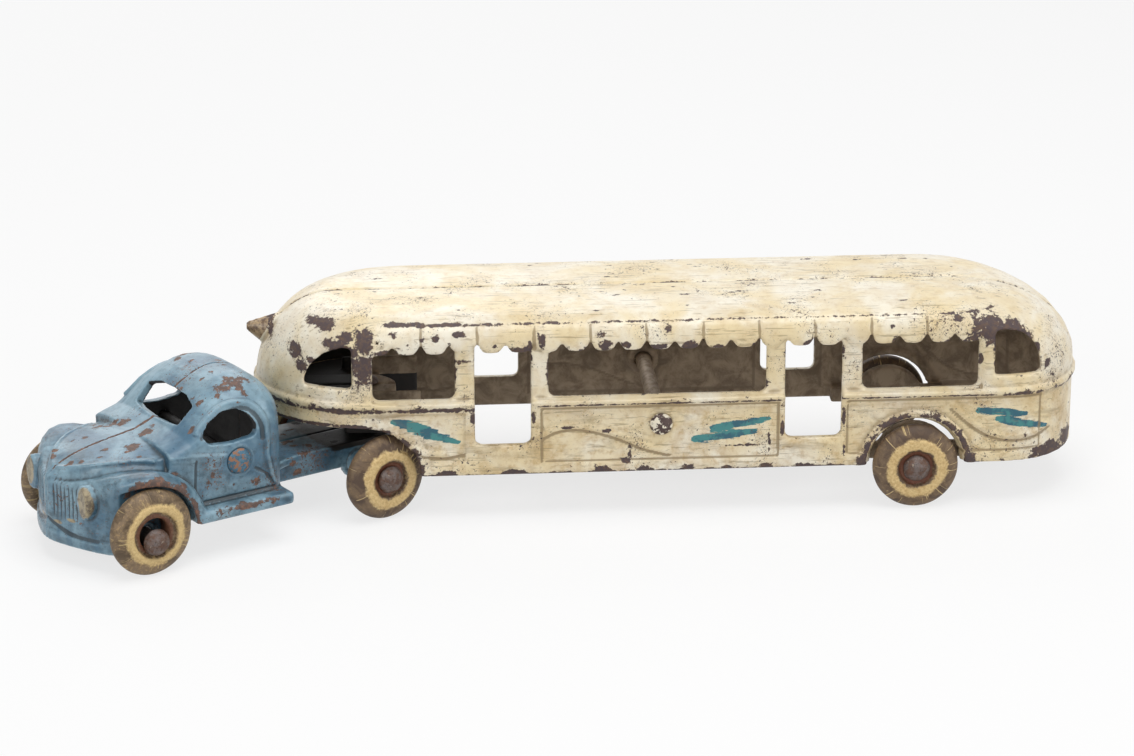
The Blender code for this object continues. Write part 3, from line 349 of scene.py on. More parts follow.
def read_coords(mesh: bpy.types.Mesh) -> np.ndarray:
    """Return the places of a mesh's points, in metres."""
    return read_rows(mesh.vertices, "co", 3)


def read_normals(mesh: bpy.types.Mesh) -> np.ndarray:
    """Return the directions in which the points of a mesh face."""
    return read_rows(mesh.vertex_normals, "vector", 3)


def relaxed(mesh: bpy.types.Mesh, values: np.ndarray, rounds: int) -> np.ndarray:
    """Move each point's values towards those of its neighbours several times.

    Args:
        mesh: the mesh whose edges say which points are neighbours.
        values: one number, or one row, for each point.
        rounds: how often they move.

    Returns:
        One row for each point.
    """
    edges = read_rows(mesh.edges, "vertices", 2, np.int64)
    count = len(values)
    degree = np.maximum(np.bincount(edges.ravel(), minlength=count), 1)
    columns = values.reshape(count, -1).copy()
    for _ in range(rounds):
        for k in range(columns.shape[1]):
            value = columns[:, k]
            total = np.bincount(edges[:, 0], value[edges[:, 1]], count)
            total += np.bincount(edges[:, 1], value[edges[:, 0]], count)
            columns[:, k] = 0.4 * value + 0.6 * total / degree
    return columns


def bulge(mesh: bpy.types.Mesh, rounds: int) -> np.ndarray:
    """Measure how far each point stands out from its surroundings.

    Args:
        mesh: a mesh of small even faces.
        rounds: how wide the surroundings are.

    Returns:
        Millimetres, positive on outer edges and negative in grooves.
    """
    coords = read_coords(mesh)
    calm = relaxed(mesh, coords, rounds)
    return np.sum((coords - calm) * read_normals(mesh), axis=1) / MM


def set_attribute(mesh: bpy.types.Mesh, name: str, values: np.ndarray) -> None:
    """Store values on the points of a mesh.

    Args:
        mesh: the mesh that takes them.
        name: the name under which a finish reads them.
        values: one number, or one vector, for each point.
    """
    kind, key = ("FLOAT", "value") if values.ndim == 1 else ("FLOAT_VECTOR", "vector")
    store = mesh.attributes.new(name, kind, "POINT")
    store.data.foreach_set(key, values.astype(np.float32).ravel())


def dress(
    mesh: bpy.types.Mesh, node: str, body: str, finish: bpy.types.Material
) -> None:
    """Make a finished mesh a piece that stands for a node.

    Args:
        mesh: the mesh, which gives the piece its name.
        node: the node that the piece stands for.
        body: the body that it rides.
        finish: its material.
    """
    mesh.polygons.foreach_set("use_smooth", [True] * len(mesh.polygons))
    mesh.materials.clear()
    mesh.materials.append(finish)
    piece = mesh_object(mesh.name, mesh)
    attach(piece, body)
    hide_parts(node)
    LOG.info("%s: %d triangles", piece.name, sum(len(p.vertices) - 2 for p in mesh.polygons))


# Marks, which say in a casting's frame where its paint is worn, stained or creased


def near(away: np.ndarray) -> np.ndarray:
    """Return 1 well inside a mark and 0 outside, from distances in units of its reach."""
    return np.clip(1.35 - away, 0.0, 1.0)


class Mark(ABC):
    """A mark on a casting."""

    @abstractmethod
    def field(self, coords: np.ndarray) -> np.ndarray:
        """Return how strongly the mark acts on each point of the casting's frame."""


@dataclass(frozen=True)
class Patch(Mark):
    """A worn spot: an ellipsoid that is strongest at its centre."""

    at: Point
    reach: Point
    strength: float = 1.0

    def field(self, coords: np.ndarray) -> np.ndarray:
        """Return how strongly the spot acts on each point."""
        away = (coords - np.array(self.at)) / np.array(self.reach)
        return self.strength * near(np.sqrt(np.sum(away**2, axis=1)))


@dataclass(frozen=True)
class Band(Mark):
    """A worn line along a casting at one height."""

    start: float
    end: float
    z: float
    half: float
    strength: float = 1.0

    def field(self, coords: np.ndarray) -> np.ndarray:
        """Return how strongly the line acts on each point.

        Args:
            coords: one row for each point.

        Returns:
            One number for each point.
        """
        x = coords[:, 0]
        along = smooth((x - self.start) / 2.0 + 0.5) * smooth((self.end - x) / 2.0 + 0.5)
        return self.strength * along * near(np.abs(coords[:, 2] - self.z) / self.half)


@dataclass(frozen=True)
class Ring(Mark):
    """A worn arc round an axle, on the outer side only."""

    centre: Flat
    radius: float
    half: float
    outside: float
    strength: float = 1.0

    def field(self, coords: np.ndarray) -> np.ndarray:
        """Return how strongly the arc acts on each point.

        Args:
            coords: one row for each point.

        Returns:
            One number for each point.
        """
        away = np.hypot(coords[:, 0] - self.centre[0], coords[:, 2] - self.centre[1])
        on_arc = near(np.abs(away - self.radius) / self.half)
        return self.strength * on_arc * smooth((np.abs(coords[:, 1]) - self.outside) / 0.5)


@dataclass(frozen=True)
class Brush(Mark):
    """A tapered stroke of a brush on a side, between two points in X and Z."""

    start: Flat
    end: Flat
    half: float

    def field(self, coords: np.ndarray) -> np.ndarray:
        """Return how strongly the stroke acts on each point.

        Args:
            coords: one row for each point.

        Returns:
            One number for each point.
        """
        a, b = np.array(self.start), np.array(self.end)
        span = b - a
        place = coords[:, [0, 2]] - a
        t = np.clip(place @ span / (span @ span), 0.0, 1.0)
        away = np.linalg.norm(place - t[:, None] * span, axis=1)
        taper = 0.45 + 0.55 * np.sin(math.pi * np.clip(0.18 + 0.8 * t, 0, 1))
        return near(away / (self.half * taper))


@dataclass(frozen=True)
class Seam(Mark):
    """The worn joint line between the two halves of a casting, above a height."""

    half: float
    above: float
    strength: float = 1.0

    def field(self, coords: np.ndarray) -> np.ndarray:
        """Return how strongly the line acts on each point."""
        on_line = near(np.abs(coords[:, 1]) / self.half)
        return self.strength * on_line * smooth((coords[:, 2] - self.above) / 2.0)


def strongest(coords: np.ndarray, marks: list[Mark]) -> np.ndarray:
    """Find the strongest effect of any mark.

    Args:
        coords: one row for each point, in the casting's frame.
        marks: the marks.

    Returns:
        One number for each point.
    """
    result = np.zeros(len(coords))
    for mark in marks:
        result = np.maximum(result, mark.field(coords))
    return result


# Node trees


class Grain(Enum):
    """The noises: cycles per millimetre, octaves, roughness and distortion."""

    FLAKE_CROWDS = (0.16, 3.0, 0.5, 0.0)
    FLAKE_FORMS = (0.3, 5.0, 0.6, 0.4)
    FLAKE_EDGES = (1.05, 7.0, 0.68, 0.3)
    SPECKS = (1.0, 3.0, 0.65, 0.6)
    SPECK_CROWDS = (0.09, 3.0, 0.5, 0.0)
    HAIRLINES = (1.0, 3.0, 0.6, 0.3)
    HAIRLINE_CROWDS = (0.12, 3.0, 0.6, 0.0)
    GRIME_CLOUDS = (0.11, 5.0, 0.62, 0.5)
    GRIME_GRAIN = (1.1, 5.0, 0.7, 0.0)
    MOTTLE = (0.5, 7.0, 0.68, 0.0)
    PAINT_CLOUDS = (0.055, 4.0, 0.6, 0.6)
    SMEARS = (1.0, 6.0, 0.66, 0.8)
    BRUSH_TONES = (0.35, 3.0, 0.55, 0.0)
    BRUSH_EDGES = (1.0, 6.0, 0.7, 0.0)
    BARE_IRON = (0.9, 6.0, 0.72, 0.0)
    INSIDE_CLOUDS = (0.2, 7.0, 0.7, 0.5)
    SAND = (1.4, 4.0, 0.6, 0.0)
    WAVES = (0.22, 2.0, 0.5, 0.0)
    RUBBER_WOBBLE = (0.3, 5.0, 0.62, 0.0)
    RUBBER_GRAIN = (1.5, 7.0, 0.72, 0.0)
    RUBBER_SOIL = (0.2, 6.0, 0.66, 0.8)
    CRACKS = (1.0, 2.0, 0.5, 0.0)
    CRACK_CROWDS = (0.26, 2.0, 0.55, 0.0)
    STEEL_RUST = (0.5, 5.0, 0.65, 0.4)
    STEEL_GRAIN = (2.4, 5.0, 0.7, 0.0)
    PAINT_TRACES = (0.75, 4.0, 0.6, 0.3)


class Stretch(Enum):
    """How far a noise's coordinates are stretched along the three axes."""

    HAIRLINES = (0.1, 1.5, 1.5)
    SMEARS = (0.09, 0.09, 0.3)
    BRUSH_EDGES = (0.28, 0.28, 1.4)
    CRACKS = (3.6, 3.6, 3.6)


class Graph:
    """A small helper that places and links shader nodes."""

    def __init__(self, tree: bpy.types.NodeTree) -> None:
        """Keep the tree that takes the nodes."""
        self.tree = tree

    def node(
        self, kind: str, settings: dict | None = None, inputs: dict | None = None
    ) -> bpy.types.Node:
        """Place a node.

        Args:
            kind: the node's type, without its ShaderNode prefix.
            settings: the node's own properties.
            inputs: values or sockets, by the input's name or number.

        Returns:
            The new node.
        """
        item = self.tree.nodes.new("ShaderNode" + kind)
        for key, value in (settings or {}).items():
            setattr(item, key, value)
        for key, value in (inputs or {}).items():
            self.feed(item.inputs[key], value)
        return item

    def feed(self, socket: Socket, value: Value) -> None:
        """Link a socket to an input, or set the input's value.

        Args:
            socket: the input.
            value: a socket, a number, a vector or a colour.
        """
        if isinstance(value, bpy.types.NodeSocket):
            self.tree.links.new(value, socket)
        elif isinstance(value, tuple) and len(value) == 3 and socket.type == "RGBA":
            socket.default_value = (*value, 1.0)
        else:
            socket.default_value = value

    def math(self, operation: str, a: Value, b: Value = 0.0, clamp: bool = False) -> Socket:
        """Place a Math node and return its result."""
        settings = {"operation": operation, "use_clamp": clamp}
        return self.node("Math", settings, {0: a, 1: b}).outputs[0]

    def add(self, a: Value, b: Value) -> Socket:
        """Return the sum of two numbers."""
        return self.math("ADD", a, b)

    def less(self, a: Value, b: Value) -> Socket:
        """Return a number less another."""
        return self.math("SUBTRACT", a, b)

    def times(self, a: Value, b: Value) -> Socket:
        """Return the product of two numbers."""
        return self.math("MULTIPLY", a, b)

    def above(self, a: Value) -> Socket:
        """Return a number, or 0 where it is negative."""
        return self.math("MAXIMUM", a, 0.0)

    def swing(self, wave: Value, reach: Value) -> Socket:
        """Return a noise about its middle value, times a reach."""
        return self.times(self.less(wave, 0.5), reach)

    def uneven(self, value: Value, wave: Value, reach: float) -> Socket:
        """Return a number that a noise moves up and down."""
        return self.add(value, self.swing(wave, reach))

    def mix(self, factor: Value, a: Value, b: Value) -> Socket:
        """Mix two colours and return the result."""
        settings = {"data_type": "RGBA"}
        return self.node("Mix", settings, {0: factor, 6: a, 7: b}).outputs[2]

    def cover(self, under: Value, over: Value, mask: Value, share: Value) -> Socket:
        """Lay a share of a colour over another one where a mask is 1."""
        return self.mix(self.times(mask, share), under, over)

    def blend(self, factor: Value, a: Value, b: Value) -> Socket:
        """Mix two numbers and return the result."""
        return self.node("Mix", {"data_type": "FLOAT"}, {0: factor, 2: a, 3: b}).outputs[0]

    def step(self, value: Value, low: Value, high: Value) -> Socket:
        """Ease a number from 0 to 1 between two limits."""
        inputs = {"Value": value, "From Min": low, "From Max": high}
        return self.node("MapRange", {"interpolation_type": "SMOOTHSTEP"}, inputs).outputs[0]

    def noise(self, vector: Value, grain: Grain, scale: Value | None = None) -> Socket:
        """Place a noise.

        Args:
            vector: the coordinates in millimetres.
            grain: its settings.
            scale: cycles per millimetre, where the grain's own don't hold.

        Returns:
            Its value.
        """
        own_scale, detail, rough, warp = grain.value
        inputs = {
            "Vector": vector, "Scale": own_scale if scale is None else scale,
            "Detail": detail, "Roughness": rough, "Distortion": warp,
        }
        return self.node("TexNoise", None, inputs).outputs[0]

    def scaled(self, vector: Value, factors: Point) -> Socket:
        """Stretch coordinates along the three axes."""
        settings = {"operation": "MULTIPLY"}
        return self.node("VectorMath", settings, {0: vector, 1: factors}).outputs[0]

    def stored(self, name: str, output: str = "Fac") -> Socket:
        """Return the number, or the Vector, that a piece's mesh stores under a name."""
        return self.node("Attribute", {"attribute_name": name}).outputs[output]

    def millimetres(self) -> Socket:
        """Return the object's own coordinates in millimetres."""
        coords = self.node("TexCoord").outputs["Object"]
        return self.scaled(coords, (1 / MM, 1 / MM, 1 / MM))

    def bump(self, height: Value, strength: float, depth: float) -> Socket:
        """Return the normals of a relief that is some millimetres deep."""
        inputs = {"Height": height, "Strength": strength, "Distance": depth * MM}
        return self.node("Bump", None, inputs).outputs["Normal"]

    def group(self, name: str, inputs: dict[str, Value]) -> bpy.types.bpy_prop_collection:
        """Place a shared effect and return its outputs."""
        settings = {"node_tree": bpy.data.node_groups[name]}
        return self.node("Group", settings, inputs).outputs


class Effect:
    """A shared effect, as a node group with named inputs and outputs."""

    def __init__(self, name: str, inputs: dict[str, float | None]) -> None:
        """Start the group.

        Args:
            name: the group's name.
            inputs: each input with its default, or None for a vector.
        """
        self.tree = bpy.data.node_groups.new(name, "ShaderNodeTree")
        for key, default in inputs.items():
            kind = "NodeSocketVector" if default is None else "NodeSocketFloat"
            socket = self.tree.interface.new_socket(name=key, in_out="INPUT", socket_type=kind)
            if default is not None:
                socket.default_value = default
        self.graph = Graph(self.tree)
        self.given = self.tree.nodes.new("NodeGroupInput").outputs

    def put(self, results: dict[str, Value]) -> None:
        """Finish the group.

        Args:
            results: each output with its number.
        """
        for key in results:
            self.tree.interface.new_socket(
                name=key, in_out="OUTPUT", socket_type="NodeSocketFloat")
        sink = self.tree.nodes.new("NodeGroupOutput")
        for key, value in results.items():
            self.graph.feed(sink.inputs[key], value)


class SharedEffects:
    """The wear, hairlines, specks, and the soil film and painted groove shade that more than one
    finish uses.
    """

    def build(self) -> None:
        """Make every group."""
        self.build_chips()
        self.build_specks()
        self.build_hairlines()
        self.build_grime_and_groove_shade()

    def build_chips(self) -> None:
        """Flakes that have left the iron bare, on worn spots and along outer edges."""
        defaults = {"Vector": None, "Spot": 0.0, "Edge": 0.0, "Edge Gain": 2.0, "Level": 0.62}
        effect = Effect("chipped_paint", defaults)
        graph, given = effect.graph, effect.given
        vector, level = given["Vector"], given["Level"]
        patchy = graph.step(graph.noise(vector, Grain.FLAKE_CROWDS), 0.4, 0.62)
        edge = graph.times(given["Edge"], given["Edge Gain"])
        edge = graph.times(edge, graph.blend(patchy, 0.25, 1.0))
        total = graph.add(given["Spot"], edge)
        forms = graph.noise(vector, Grain.FLAKE_FORMS)
        ragged = graph.less(graph.add(forms, graph.noise(vector, Grain.FLAKE_EDGES)), 1.0)
        total = graph.add(total, graph.times(ragged, 1.9))
        mask = graph.step(total, level, graph.add(level, 0.05))
        wide = graph.step(total, graph.less(level, 0.12), level)
        effect.put({"Mask": mask, "Rim": graph.math("SUBTRACT", wide, mask, clamp=True)})

    def build_specks(self) -> None:
        """Small separate dots and pits, crowded in places."""
        defaults = {"Vector": None, "Scale": 0.8, "Level": 0.66, "Crowding": 0.12}
        effect = Effect("specks", defaults)
        graph, given = effect.graph, effect.given
        vector, level = given["Vector"], given["Level"]
        dots = graph.noise(vector, Grain.SPECKS, given["Scale"])
        lift = graph.swing(graph.noise(vector, Grain.SPECK_CROWDS), 2.0)
        total = graph.add(dots, graph.times(lift, given["Crowding"]))
        effect.put({"Mask": graph.step(total, level, graph.add(level, 0.03))})

    def build_hairlines(self) -> None:
        """Short hairlines along one direction, from handling."""
        effect = Effect("hairlines", {"Vector": None, "Level": 0.66})
        graph, given = effect.graph, effect.given
        vector, level = given["Vector"], given["Level"]
        stretched = graph.scaled(vector, Stretch.HAIRLINES.value)
        lines = graph.noise(stretched, Grain.HAIRLINES)
        crowds = graph.noise(vector, Grain.HAIRLINE_CROWDS)
        total = graph.less(graph.add(lines, graph.times(crowds, 0.3)), 0.15)
        effect.put({"Mask": graph.step(total, level, graph.add(level, 0.035))})

    def build_grime_and_groove_shade(self) -> None:
        """Darkening in grooves, partly gathered soil and partly painted shade, and a cloudy film
        of soil.
        """
        effect = Effect("grime_and_groove_shade", {"Vector": None, "Groove": 0.0, "Amount": 1.0})
        graph, given = effect.graph, effect.given
        clouds = graph.noise(given["Vector"], Grain.GRIME_CLOUDS)
        grain = graph.noise(given["Vector"], Grain.GRIME_GRAIN)
        groove = graph.times(given["Groove"], given["Amount"])
        groove = graph.times(groove, graph.blend(grain, 0.5, 1.4))
        film = graph.times(graph.step(clouds, 0.42, 0.72), graph.blend(grain, 0.45, 1.2))
        effect.put({"Mask": graph.step(groove, 0.08, 0.75), "Film": film})


def new_material(name: str) -> tuple[bpy.types.Material, Graph, bpy.types.Node]:
    """Start a material.

    Args:
        name: its name.

    Returns:
        The material, its graph and its Principled BSDF.
    """
    material = bpy.data.materials.new(name)
    material.use_nodes = True
    shader = material.node_tree.nodes["Principled BSDF"]
    return material, Graph(material.node_tree), shader


@dataclass(frozen=True)
class PaintFinish:
    """Old enamel on cast iron, chipped to the metal and dull inside."""

    name: str
    paint: Colour
    shade: Colour
    pale: Colour
    dirt_and_groove_shade: Colour
    iron: Colour
    rust: Colour
    inside: Colour
    inside_dark: Colour
    tan: Colour
    tan_dark: Colour
    soot: Colour
    edge_gain: float
    chip_level: float
    speck_level: float
    scratch_level: float
    scratch_share: float
    # Strength of the groove darkening, which is part soil and part painted shade.
    grime_and_groove_shade: float
    # The height below which the paint is darker, with soil and painted shade on the lower sides.
    dirt_and_shade_below: float
    edge_scuff_and_highlight: float = 0.0
    stain: Colour = (0.0, 0.0, 0.0)
    stain_dark: Colour = (0.0, 0.0, 0.0)

    def material(self) -> bpy.types.Material:
        """Build the material.

        Returns:
            The material, which reads the values that a casting's mesh stores.
        """
        material, graph, shader = new_material(self.name)
        vector = graph.millimetres()
        mottle = graph.noise(vector, Grain.MOTTLE)
        height = graph.node("SeparateXYZ", None, {"Vector": vector}).outputs["Z"]
        # Below a height the paint is darker and more speckled: soil, and painted shade on the
        # lower sides.
        soiled = graph.step(height, self.dirt_and_shade_below + 1.0, self.dirt_and_shade_below - 1.0)
        out = graph.stored("bulge")
        edge, groove = graph.above(out), graph.above(graph.times(out, -1.0))
        # Groove mask: soil and painted shade in grooves. Film: a cloudy film of soil.
        grime_and_groove_shade = graph.group("grime_and_groove_shade", {
            "Vector": vector, "Groove": groove, "Amount": self.grime_and_groove_shade})
        chips = graph.group("chipped_paint", {
            "Vector": vector, "Spot": graph.stored("spot"), "Edge": edge,
            "Edge Gain": self.edge_gain, "Level": self.chip_level})
        specks = graph.group("specks", {
            "Vector": vector, "Scale": 1.5, "Crowding": 0.26,
            "Level": graph.blend(soiled, self.speck_level, self.speck_level - 0.012)})
        bare = graph.math("MAXIMUM", chips["Mask"], specks["Mask"])
        paint = self.painted(graph, vector, soiled, mottle, grime_and_groove_shade, edge)
        paint = self.marked(graph, vector, mottle, chips, paint)
        iron = graph.step(graph.noise(vector, Grain.BARE_IRON), 0.44, 0.66)
        outer = graph.mix(bare, paint, graph.mix(iron, self.iron, self.rust))
        clouds = graph.step(graph.noise(vector, Grain.INSIDE_CLOUDS), 0.36, 0.66)
        dull = graph.mix(clouds, self.inside, self.inside_dark)
        # Grooves inside are darkened too, partly soil and partly painted shade.
        dull = graph.cover(dull, self.inside_dark, grime_and_groove_shade["Mask"], 0.6)
        inner = graph.step(graph.uneven(graph.stored("inner"), mottle, 0.5), 0.42, 0.6)
        # Painted shadow: the shaded inside of the trailer's nose and the deck under it are
        # darkened to a near-black colour.
        soot = graph.step(graph.uneven(graph.stored("soot"), mottle, 0.5), 0.4, 0.7)
        colour = graph.mix(soot, graph.mix(inner, outer, dull), self.soot)
        graph.feed(shader.inputs["Base Color"], colour)
        rough = graph.blend(bare, graph.blend(mottle, 0.2, 0.42), 0.6)
        graph.feed(shader.inputs["Roughness"], graph.blend(inner, rough, 0.75))
        relief = self.relief(graph, vector, bare, chips["Rim"])
        graph.feed(shader.inputs["Normal"], relief)
        return material

    def painted(
        self, graph: Graph, vector: Socket, soiled: Socket, mottle: Socket,
        grime_and_groove_shade: bpy.types.bpy_prop_collection, edge: Socket,
    ) -> Socket:
        """Colour the paint before it is chipped, with painted shade in hollows and grooves.

        Args:
            graph: the material's graph.
            vector: the coordinates in millimetres.
            soiled: 1 below a height, where the paint is darker, partly soil and partly painted
                shade on the lower sides.
            mottle: a middling noise.
            grime_and_groove_shade: the outputs of the shared effect: the soil film, and the
                groove darkening that is part soil and part painted shade.
            edge: how far the surface stands out.

        Returns:
            The colour.
        """
        clouds = graph.step(graph.noise(vector, Grain.PAINT_CLOUDS), 0.36, 0.66)
        paint = graph.mix(clouds, self.paint, self.pale)
        blotches = graph.step(mottle, 0.46, 0.72)
        paint = graph.cover(paint, self.shade, blotches, graph.blend(soiled, 0.3, 0.6))
        paint = graph.cover(paint, self.shade, grime_and_groove_shade["Film"], graph.blend(soiled, 0.3, 0.75))
        smears = graph.noise(graph.scaled(vector, Stretch.SMEARS.value), Grain.SMEARS)
        smears = graph.step(smears, 0.5, 0.72)
        paint = graph.cover(paint, self.dirt_and_groove_shade, smears, graph.blend(soiled, 0.1, 0.55))
        # Painted shade: points that lie in wide hollows are darkened towards the shade colour.
        hollow = graph.step(graph.stored("hollow"), -0.05, -0.75)
        paint = graph.cover(paint, self.shade, hollow, 0.8)
        # Painted highlight and scuffing: outer edges are paled towards the pale colour.
        worn = graph.times(graph.step(edge, 0.02, 0.14), self.edge_scuff_and_highlight)
        paint = graph.cover(paint, self.pale, worn, graph.step(mottle, 0.35, 0.6))
        tones = graph.step(graph.noise(vector, Grain.BRUSH_TONES), 0.42, 0.58)
        stroke = graph.mix(tones, self.stain, self.stain_dark)
        ragged = graph.noise(graph.scaled(vector, Stretch.BRUSH_EDGES.value), Grain.BRUSH_EDGES)
        brushed = graph.step(graph.uneven(graph.stored("stroke"), ragged, 2.0), 0.5, 0.58)
        paint = graph.mix(brushed, paint, stroke)
        # Grooves are darkened, partly soil and partly painted shade.
        paint = graph.cover(paint, self.dirt_and_groove_shade, grime_and_groove_shade["Mask"], 0.75)
        lines = graph.group("hairlines", {"Vector": vector, "Level": self.scratch_level})
        return graph.cover(paint, self.dirt_and_groove_shade, lines["Mask"], self.scratch_share)

    def marked(
        self, graph: Graph, vector: Socket, mottle: Socket,
        chips: bpy.types.bpy_prop_collection, paint: Socket,
    ) -> Socket:
        """Lay the flakes' rims, rusty dots and the tan stain over the paint.

        Args:
            graph: the material's graph.
            vector: the coordinates in millimetres.
            mottle: a middling noise.
            chips: the outputs of the shared chips.
            paint: the paint's colour.

        Returns:
            The colour.
        """
        dots = graph.group("specks", {
            "Vector": vector, "Scale": 3.2, "Crowding": 0.24, "Level": self.speck_level})
        paint = graph.cover(paint, self.dirt_and_groove_shade, chips["Rim"], 0.35)
        paint = graph.cover(paint, self.rust, dots["Mask"], 0.7)
        tan = graph.step(graph.uneven(graph.stored("tan"), mottle, 0.9), 0.42, 0.6)
        tones = graph.step(mottle, 0.42, 0.62)
        return graph.mix(tan, paint, graph.mix(tones, self.tan, self.tan_dark))

    def relief(self, graph: Graph, vector: Socket, bare: Socket, rim: Socket) -> Socket:
        """Shape the surface of sand-cast iron under thick, chipped paint.

        Args:
            graph: the material's graph.
            vector: the coordinates in millimetres.
            bare: 1 where the paint is gone.
            rim: 1 along the edges of the flakes.

        Returns:
            The normals.
        """
        height = graph.times(graph.noise(vector, Grain.SAND), 0.14)
        height = graph.add(height, graph.times(graph.noise(vector, Grain.WAVES), 0.55))
        height = graph.less(height, graph.times(bare, 0.2))
        height = graph.add(height, graph.times(rim, 0.12))
        return graph.bump(height, 0.5, 0.35)


@dataclass(frozen=True)
class RubberFinish:
    """White rubber that has yellowed, with a soiled tread and dry cracks."""

    name: str
    clean: Colour
    yellow: Colour
    soil: Colour
    dark: Colour
    hub: Colour
    ring_inner: float
    ring_outer: float
    paleness: float
    crack_share: float

    def material(self) -> bpy.types.Material:
        """Build the material.

        Returns:
            The material, which reads each point's distance from the axle.
        """
        material, graph, shader = new_material(self.name)
        inner, outer = self.ring_inner, self.ring_outer
        vector = graph.millimetres()
        radius = graph.stored("radius")
        wobble = graph.noise(vector, Grain.RUBBER_WOBBLE)
        grain = graph.noise(vector, Grain.RUBBER_GRAIN)
        uneven = graph.uneven(graph.uneven(radius, wobble, 2.6), grain, 1.6)
        tread = graph.step(uneven, outer - 0.35, outer + 0.45)
        hub = graph.step(uneven, inner + 0.35, inner - 0.35)
        ring = graph.mix(graph.step(grain, 0.36, 0.66), self.clean, self.yellow)
        patch = graph.noise(vector, Grain.RUBBER_SOIL)
        soil = graph.mix(graph.step(patch, 0.38, 0.62), self.soil, self.dark)
        pale = graph.times(graph.step(grain, 0.48, 0.66), self.paleness)
        soil = graph.cover(soil, self.yellow, pale, graph.step(patch, 0.6, 0.4))
        colour = graph.mix(tread, ring, soil)
        hub_colour = graph.mix(graph.step(grain, 0.4, 0.6), self.dark, self.soil)
        colour = graph.mix(hub, colour, hub_colour)
        rust = graph.step(uneven, inner - 0.5, inner - 1.0)
        colour = graph.cover(colour, self.hub, rust, 0.6)
        cracks = self.cracks(graph, vector, radius, grain)
        colour = graph.cover(colour, self.clean, cracks, self.crack_share)
        graph.feed(shader.inputs["Base Color"], colour)
        graph.feed(shader.inputs["Roughness"], graph.blend(grain, 0.42, 0.75))
        height = graph.add(graph.times(grain, 0.35), graph.times(wobble, 0.9))
        height = graph.less(height, graph.times(cracks, 0.5))
        graph.feed(shader.inputs["Normal"], graph.bump(height, 0.55, 0.35))
        return material

    def cracks(self, graph: Graph, vector: Socket, radius: Socket, grain: Socket) -> Socket:
        """Place thin radial cracks of uneven length in the tread.

        Args:
            graph: the material's graph.
            vector: the coordinates in millimetres.
            radius: the distance from the axle.
            grain: a fine noise.

        Returns:
            1 in the cracks.
        """
        around = graph.scaled(graph.stored("around", "Vector"), Stretch.CRACKS.value)
        rays = graph.math("ABSOLUTE", graph.less(graph.noise(around, Grain.CRACKS), 0.5))
        lines = graph.step(graph.uneven(rays, grain, 0.02), 0.013, 0.005)
        crowds = graph.step(graph.noise(vector, Grain.CRACK_CROWDS), 0.44, 0.5)
        tread = graph.step(radius, self.ring_outer - 1.2, self.ring_outer - 0.4)
        return graph.times(graph.times(lines, crowds), tread)


@dataclass(frozen=True)
class PinFinish:
    """Darkened steel, rusty in places, with traces of paint."""

    name: str
    steel: Colour
    rust: Colour
    dark: Colour
    trace: Colour
    trace_level: float
    rod: Colour
    rod_dark: Colour

    def material(self) -> bpy.types.Material:
        """Build the material.

        Returns:
            The material, which reads where the pin has its heads.
        """
        material, graph, shader = new_material(self.name)
        vector = graph.millimetres()
        head = graph.stored("head")
        rusty = graph.noise(vector, Grain.STEEL_RUST)
        fine = graph.noise(vector, Grain.STEEL_GRAIN)
        colour = graph.mix(graph.step(rusty, 0.38, 0.62), self.steel, self.rust)
        colour = graph.mix(graph.step(fine, 0.5, 0.7), colour, self.dark)
        traces = graph.noise(vector, Grain.PAINT_TRACES)
        mask = graph.step(traces, self.trace_level, self.trace_level + 0.03)
        mask = graph.times(mask, head)
        colour = graph.mix(mask, colour, self.trace)
        rod = graph.mix(graph.step(rusty, 0.38, 0.66), self.rod, self.rod_dark)
        graph.feed(shader.inputs["Base Color"], graph.mix(head, rod, colour))
        graph.feed(shader.inputs["Roughness"], graph.blend(fine, 0.42, 0.7))
        graph.feed(shader.inputs["Metallic"], graph.blend(mask, 0.35, 0.0))
        height = graph.add(graph.times(rusty, 0.8), graph.times(fine, 0.35))
        graph.feed(shader.inputs["Normal"], graph.bump(height, 0.6, 0.3))
        return material


CREAM = PaintFinish(
    name="cream_enamel", paint=srgb("E5D3AA"), shade=srgb("B8965C"), pale=srgb("EFE8D6"),
    dirt_and_groove_shade=srgb("8C7856"), iron=srgb("463839"), rust=srgb("5E4838"), inside=srgb("B8A58D"),
    inside_dark=srgb("80705E"), tan=srgb("B39A78"), tan_dark=srgb("6A523C"),
    soot=srgb("1E1A17"), edge_gain=2.4,
    chip_level=0.62, speck_level=0.665, scratch_level=0.61, scratch_share=0.5, grime_and_groove_shade=4.5,
    dirt_and_shade_below=29.6, stain=srgb("3F8585"), stain_dark=srgb("2A5F70"),
)
BLUE = PaintFinish(
    name="blue_enamel", paint=srgb("466C84"), shade=srgb("263C48"), pale=srgb("8AA9B8"),
    dirt_and_groove_shade=srgb("30383C"), iron=srgb("54443E"), rust=srgb("86604C"), inside=srgb("3C3B3A"),
    inside_dark=srgb("242222"), tan=srgb("A89A7C"), tan_dark=srgb("6E6454"),
    soot=srgb("211F1E"), edge_gain=2.4,
    chip_level=0.66, speck_level=0.675, scratch_level=0.68, scratch_share=0.35, grime_and_groove_shade=6.0,
    dirt_and_shade_below=27.0, edge_scuff_and_highlight=0.7,
)
RUBBER = RubberFinish(
    name="aged_rubber", clean=srgb("DCC28C"), yellow=srgb("BE9E68"), soil=srgb("745F48"),
    dark=srgb("4E3C2E"), hub=srgb("7A3E28"), ring_inner=5.1, ring_outer=7.7, paleness=0.25,
    crack_share=0.95,
)
